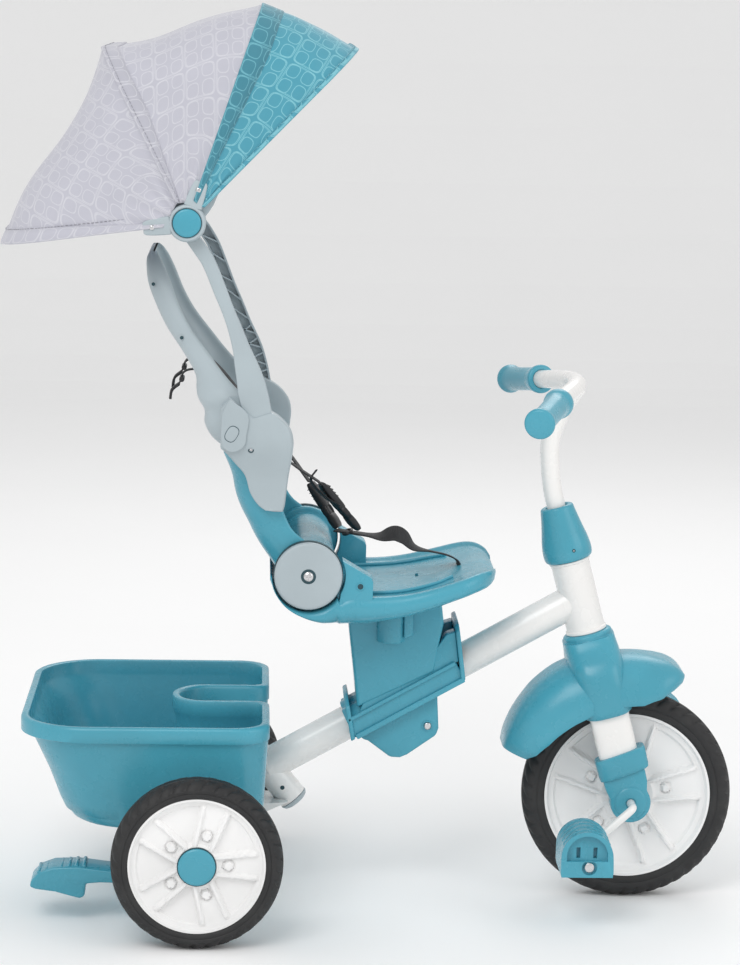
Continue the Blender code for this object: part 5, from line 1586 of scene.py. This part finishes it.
ARM_FRONT = [(-0.1120, 0.5740), (-0.1143, 0.5810), (-0.1180, 0.5990), (-0.1239, 0.6194), (-0.1310, 0.6360),
             (-0.1389, 0.6522),
             (-0.1480, 0.6740), (-0.1575, 0.6957), (-0.1665, 0.7190), (-0.1761, 0.7427), (-0.1860, 0.7600),
             (-0.1940, 0.7710)]
ARM_REAR = [(-0.1400, 0.5720), (-0.1470, 0.5850), (-0.1512, 0.6000), (-0.1530, 0.6154), (-0.1555, 0.6320),
            (-0.1575, 0.6483),
            (-0.1640, 0.6738), (-0.1720, 0.6950), (-0.1785, 0.7100), (-0.1905, 0.7388), (-0.2020, 0.7560),
            (-0.2100, 0.7670)]


def build_arm(side, s):
    """A slim moulded arm: an outer skin, a rim round its inner face and crossed ribs near the foot."""
    front = smooth_path([Vector((x, 0, z)) for x, z in ARM_FRONT], 4)
    rear = smooth_path([Vector((x, 0, z)) for x, z in ARM_REAR], 4)
    rows = []
    for f, r in zip(front, rear):
        run = (r - f)
        unit = run.normalized()
        width = run.length
        rim = 0.0022
        section = [(0.0, 0.1408), (0.0, 0.1494), (0.0006, 0.1506), (0.0018, 0.1510), (width / 2, 0.1516),
                   (width - 0.0018, 0.1510), (width - 0.0006, 0.1506),
                   (width, 0.1494), (width, 0.1408), (width - rim, 0.1408), (width - rim - 0.0003, 0.1480),
                   (rim + 0.0003, 0.1480), (rim, 0.1408)]
        rows.append([Vector((f.x - CENTRE_X, s * y, f.z)) + unit * w for w, y in section])
    piece("arm_shell_" + side, skin(rows), "grey", "seat_back", ("canopy_arm_" + side,), crease=40)
    for k in range(4, 40, 4):
        pairs = ((front[k], rear[k + 3]), (rear[k], front[k + 3])) if k < 20 else ((front[k], rear[k + 3]),)
        for j, (a, b) in enumerate(pairs):
            a = a.lerp(b, 0.04)
            b = b.lerp(a, 0.04)
            up = (b - a).normalized().cross(ACROSS) * 0.0009
            ring = [Vector((p.x - CENTRE_X, 0, p.z)) for p in (a - up, b - up, b + up, a + up)]
            rows = [[p + ACROSS * s * y for p in ring] for y in sorted((0.1414, 0.1490))]
            piece("arm_rib_%s_%d_%d" % (side, k, j), skin(rows), "grey", "seat_back", crease=40)
    knuckle = [(0.0026, 0.1405), (0.0190, 0.1405), (0.0204, 0.1420), (0.0204, 0.1500), (0.0190, 0.1506),
               (0.0026, 0.1506)]
    turned("arm_knuckle_" + side, knuckle, Vector((CANOPY_PIVOT.x, 0, CANOPY_PIVOT.z)), ACROSS * s, "grey",
           "seat_back", segments=96, ring=True)
    ring = [(0.0, 0.1502), (0.0085, 0.1502), (0.0085, 0.1590), (0.0203, 0.1590), (0.0206, 0.1605),
            (0.0206, 0.1655), (0.0199, 0.1682), (0.0183, 0.1694),
            (0.0168, 0.1690), (0.0162, 0.1676), (0.0, 0.1676)]
    turned("hinge_ring_" + side, ring, Vector((CANOPY_PIVOT.x, 0, CANOPY_PIVOT.z)), ACROSS * s, "grey",
           "seat_back",
           ("canopy_hinge_" + side,), segments=120, soft=0.0009)
    # Painted shade: a dark ring in the hinge gap stands for the shade in it.
    gap = [(0.0153, 0.1678), (0.0163, 0.1678), (0.0163, 0.1670), (0.0153, 0.1670)]
    turned("hinge_gap_" + side, gap, Vector((CANOPY_PIVOT.x, 0, CANOPY_PIVOT.z)), ACROSS * s, "dark",
           "seat_back", segments=96, ring=True, soft=0.0001)
    cap = [(0.0, 0.1706), (0.0090, 0.1703), (0.0138, 0.1696), (0.0152, 0.1688), (0.0154, 0.1672),
           (0.0, 0.1672)]
    turned("hinge_disc_" + side, cap, Vector((CANOPY_PIVOT.x, 0, CANOPY_PIVOT.z)), ACROSS * s, "teal",
           "seat_back",
           ("hinge_cap_" + side,), segments=96, soft=0.0006)


# Harness ---------------------------------------------------------------------


def build_buckle(side, top, bottom, y_lean):
    """A side-release buckle: a ribbed socket and a plug with two prongs in its windows."""
    run = (bottom - top)
    length = run.length
    along = run.normalized()
    lateral = (ACROSS - along * along.dot(ACROSS)).normalized()
    lateral = (lateral + along.cross(lateral) * y_lean).normalized()
    normal = along.cross(lateral).normalized()

    def lump(name, stations, kind="black", power=3.6, round_off=0.0):
        rows = []
        for share, half_w, half_t in stations:
            centre = top + along * length * share
            rows.append([centre + lateral * a + normal * b for a,
                         b in boxy_section(half_w, half_t, power, 28)])
        return piece(name + side, skin(rows), kind, "seat_back",
                     ("buckle_" + side,) if name == "buckle_socket_" else (), crease=38,
                     round_off=round_off)

    lump("buckle_socket_", ((0.00, 0.0088, 0.0026), (0.02, 0.0098, 0.0034), (0.10, 0.0104, 0.0044),
                            (0.30, 0.0108, 0.0052),
                            (0.46, 0.0106, 0.0052), (0.53, 0.0098, 0.0048), (0.54, 0.0090, 0.0040)))
    lump("buckle_core_", ((0.50, 0.0052, 0.0030), (0.60, 0.0050, 0.0030), (0.74, 0.0056, 0.0032)))
    lump("buckle_plug_", ((0.71, 0.0088, 0.0036), (0.73, 0.0100, 0.0044), (0.84, 0.0104, 0.0048),
                          (0.95, 0.0102, 0.0042), (1.0, 0.0094, 0.0030)))
    for name, sign in (("a", -1), ("b", 1)):
        rows = []
        for share, off, half_w, half_t in ((0.50, 0.0080, 0.0014, 0.0030), (0.56, 0.0104, 0.0021, 0.0034),
                                           (0.64, 0.0108, 0.0020, 0.0034), (0.73, 0.0092, 0.0015, 0.0030)):
            centre = top + along * length * share + lateral * sign * off
            rows.append([centre + lateral * a + normal * b for a, b in boxy_section(half_w, half_t, 3, 16)])
        piece("buckle_prong_%s_%s" % (name, side), skin(rows), "black", "seat_back", crease=45)
    for k in range(4):
        share = 0.10 + 0.07 * k
        centre = top + along * length * share
        rows = []
        for end in (-1, 1):
            rows.append([centre + lateral * end * 0.0075 + along * a + normal * b for a,
                         b in boxy_section(0.0006, 0.0058, 3, 12)])
        piece("buckle_grip_%s_%d" % (side, k), skin(rows), "black", "seat_back", crease=50)


def build_harness_looks():
    tops = {"right": at(-0.0560, 0.4830, -0.0230), "left": at(-0.0680, 0.4770, 0.0240)}
    feet = {"right": at(-0.0140, 0.4300, -0.0110), "left": at(-0.0350, 0.4270, 0.0130)}
    for side, s in SIDES:
        top, foot = tops[side], feet[side]
        back = UPPER(0.612)[0]
        path = [at(back - 0.0200, 0.6000, s * 0.0570), at(back - 0.0150, 0.6130, s * 0.0565),
                at(back - 0.0040, 0.6165, s * 0.0560),
                at(back + 0.0100, 0.6155, s * 0.0560), at(back + 0.0230, 0.6060, s * 0.0550),
                at(back + 0.0420, 0.5840, s * 0.0530),
                at(-0.1280, 0.5480, s * 0.0480), at(-0.0960, 0.5130, s * 0.0380),
                top + (top - foot).normalized() * 0.001]
        strap, length = ribbon("shoulder_webbing_" + side, smooth_path(path, 8), 0.0180, 0.0016, ACROSS,
                               "webbing", "seat_back",
                               ("shoulder_strap_" + side,))
        tail = [at(back - 0.0200, 0.6000, s * 0.0570), at(back - 0.0280, 0.5930, s * 0.0575),
                at(back - 0.0300, 0.5830, s * 0.0580)]
        ribbon("webbing_tail_" + side, smooth_path(tail, 6), 0.0180, 0.0028, ACROSS, "webbing", "seat_back")
        bar = [(0.0, -0.0125), (0.0030, -0.0125), (0.0030, 0.0125), (0.0, 0.0125)]
        turned("webbing_bar_" + side, bar, at(back - 0.0170, 0.6060, s * 0.0570), ACROSS, "black",
               "seat_back", segments=20, soft=0.0004)
        loop = [top + Vector((-0.006, 0, 0.016)), top + Vector((-0.012, s * 0.004, 0.004)),
                top + Vector((0.004, s * 0.006, -0.014)), top + Vector((0.020, s * 0.004, -0.024))]
        if side == "right":
            ribbon("webbing_slack_" + side, smooth_path(loop, 6), 0.0120, 0.0014, ACROSS, "webbing",
                   "seat_back")
        build_buckle(side, top, foot, 0.25 * s)
    path = [at(-0.0380, 0.4250, 0.0060), at(-0.0200, 0.4235, 0.0), at(-0.0020, 0.4215, -0.0030),
            at(0.0140, 0.4200, -0.0040),
            at(0.0290, 0.4235, -0.0030), at(0.0400, 0.4190, -0.0010), at(0.0520, 0.4070, 0.0),
            at(0.0720, 0.4025, 0.0),
            at(0.0900, 0.3985, 0.0), at(0.1010, 0.3930, 0.0), at(0.1040, 0.3870, 0.0)]
    path = smooth_path(path, 8)
    half, deep = 0.0105, 0.0009
    section = strap_section(half, deep)
    rows = carried(path, section, ACROSS)
    run = lengths_along(path)
    turned_over = []
    for k, row in enumerate(rows):
        centre = path[k]
        t = k / (len(rows) - 1)
        twist = radians(52) * sin(pi * smoothstep(0.18, 0.72, t)) * (1 - smoothstep(0.60, 0.80, t))
        ahead = (path[min(k + 1, len(path) - 1)] - path[max(k - 1, 0)]).normalized()
        turn = Matrix.Rotation(twist, 3, ahead)
        turned_over.append([centre + turn @ (p - centre) for p in row])
    strap = piece("crotch_webbing", skin(turned_over, uv=lambda i, k: (section[k][0] + half, run[i])),
                  "webbing", None, ("crotch_strap",), crease=60)
    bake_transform(strap)
    rings = [("belt_ring", at(-0.0250, 0.4240, 0.0), 0.0105)]
    for name, place, half_w in rings:
        rows = []
        for k in range(40):
            a = k * 2 * pi / 40
            spot = place + ACROSS * half_w * 1.2 * cos(a) + Vector((0.0050 * sin(a), 0, 0.0022 * sin(a)))
            out = (ACROSS * cos(a) + Vector((sin(a), 0, 0.4 * sin(a)))).normalized()
            normal = Vector((-0.37, 0, 0.93))
            rows.append([spot + out * 0.0016 * cos(b) + normal * 0.0016 * sin(b)
                         for b in (j * pi / 5 for j in range(10))])
        piece(name, skin(rows, closed=True, caps=False), "black", "seat_back", crease=50)


def finish_kept_nodes():
    """Better materials on the CAD nodes that stay in sight."""
    kinds = {"rear_axle": "steel", "rear_axle_carrier": "white", "steerer": "steel", "brake_pin": "steel"}
    for node, kind in kinds.items():
        thing = bpy.data.objects[node]
        for place in thing.material_slots:
            place.link = "OBJECT"
            place.material = MATERIAL[kind]


make_camera()
make_studio()
build_wheels()
build_fork()
build_fender()
build_bars()
build_pedals()
build_frame_looks()
build_basket_looks()
build_brake_looks()
build_pan()
build_seat_foot()
build_back_looks()
build_canopy_looks()
build_harness_looks()
finish_kept_nodes()
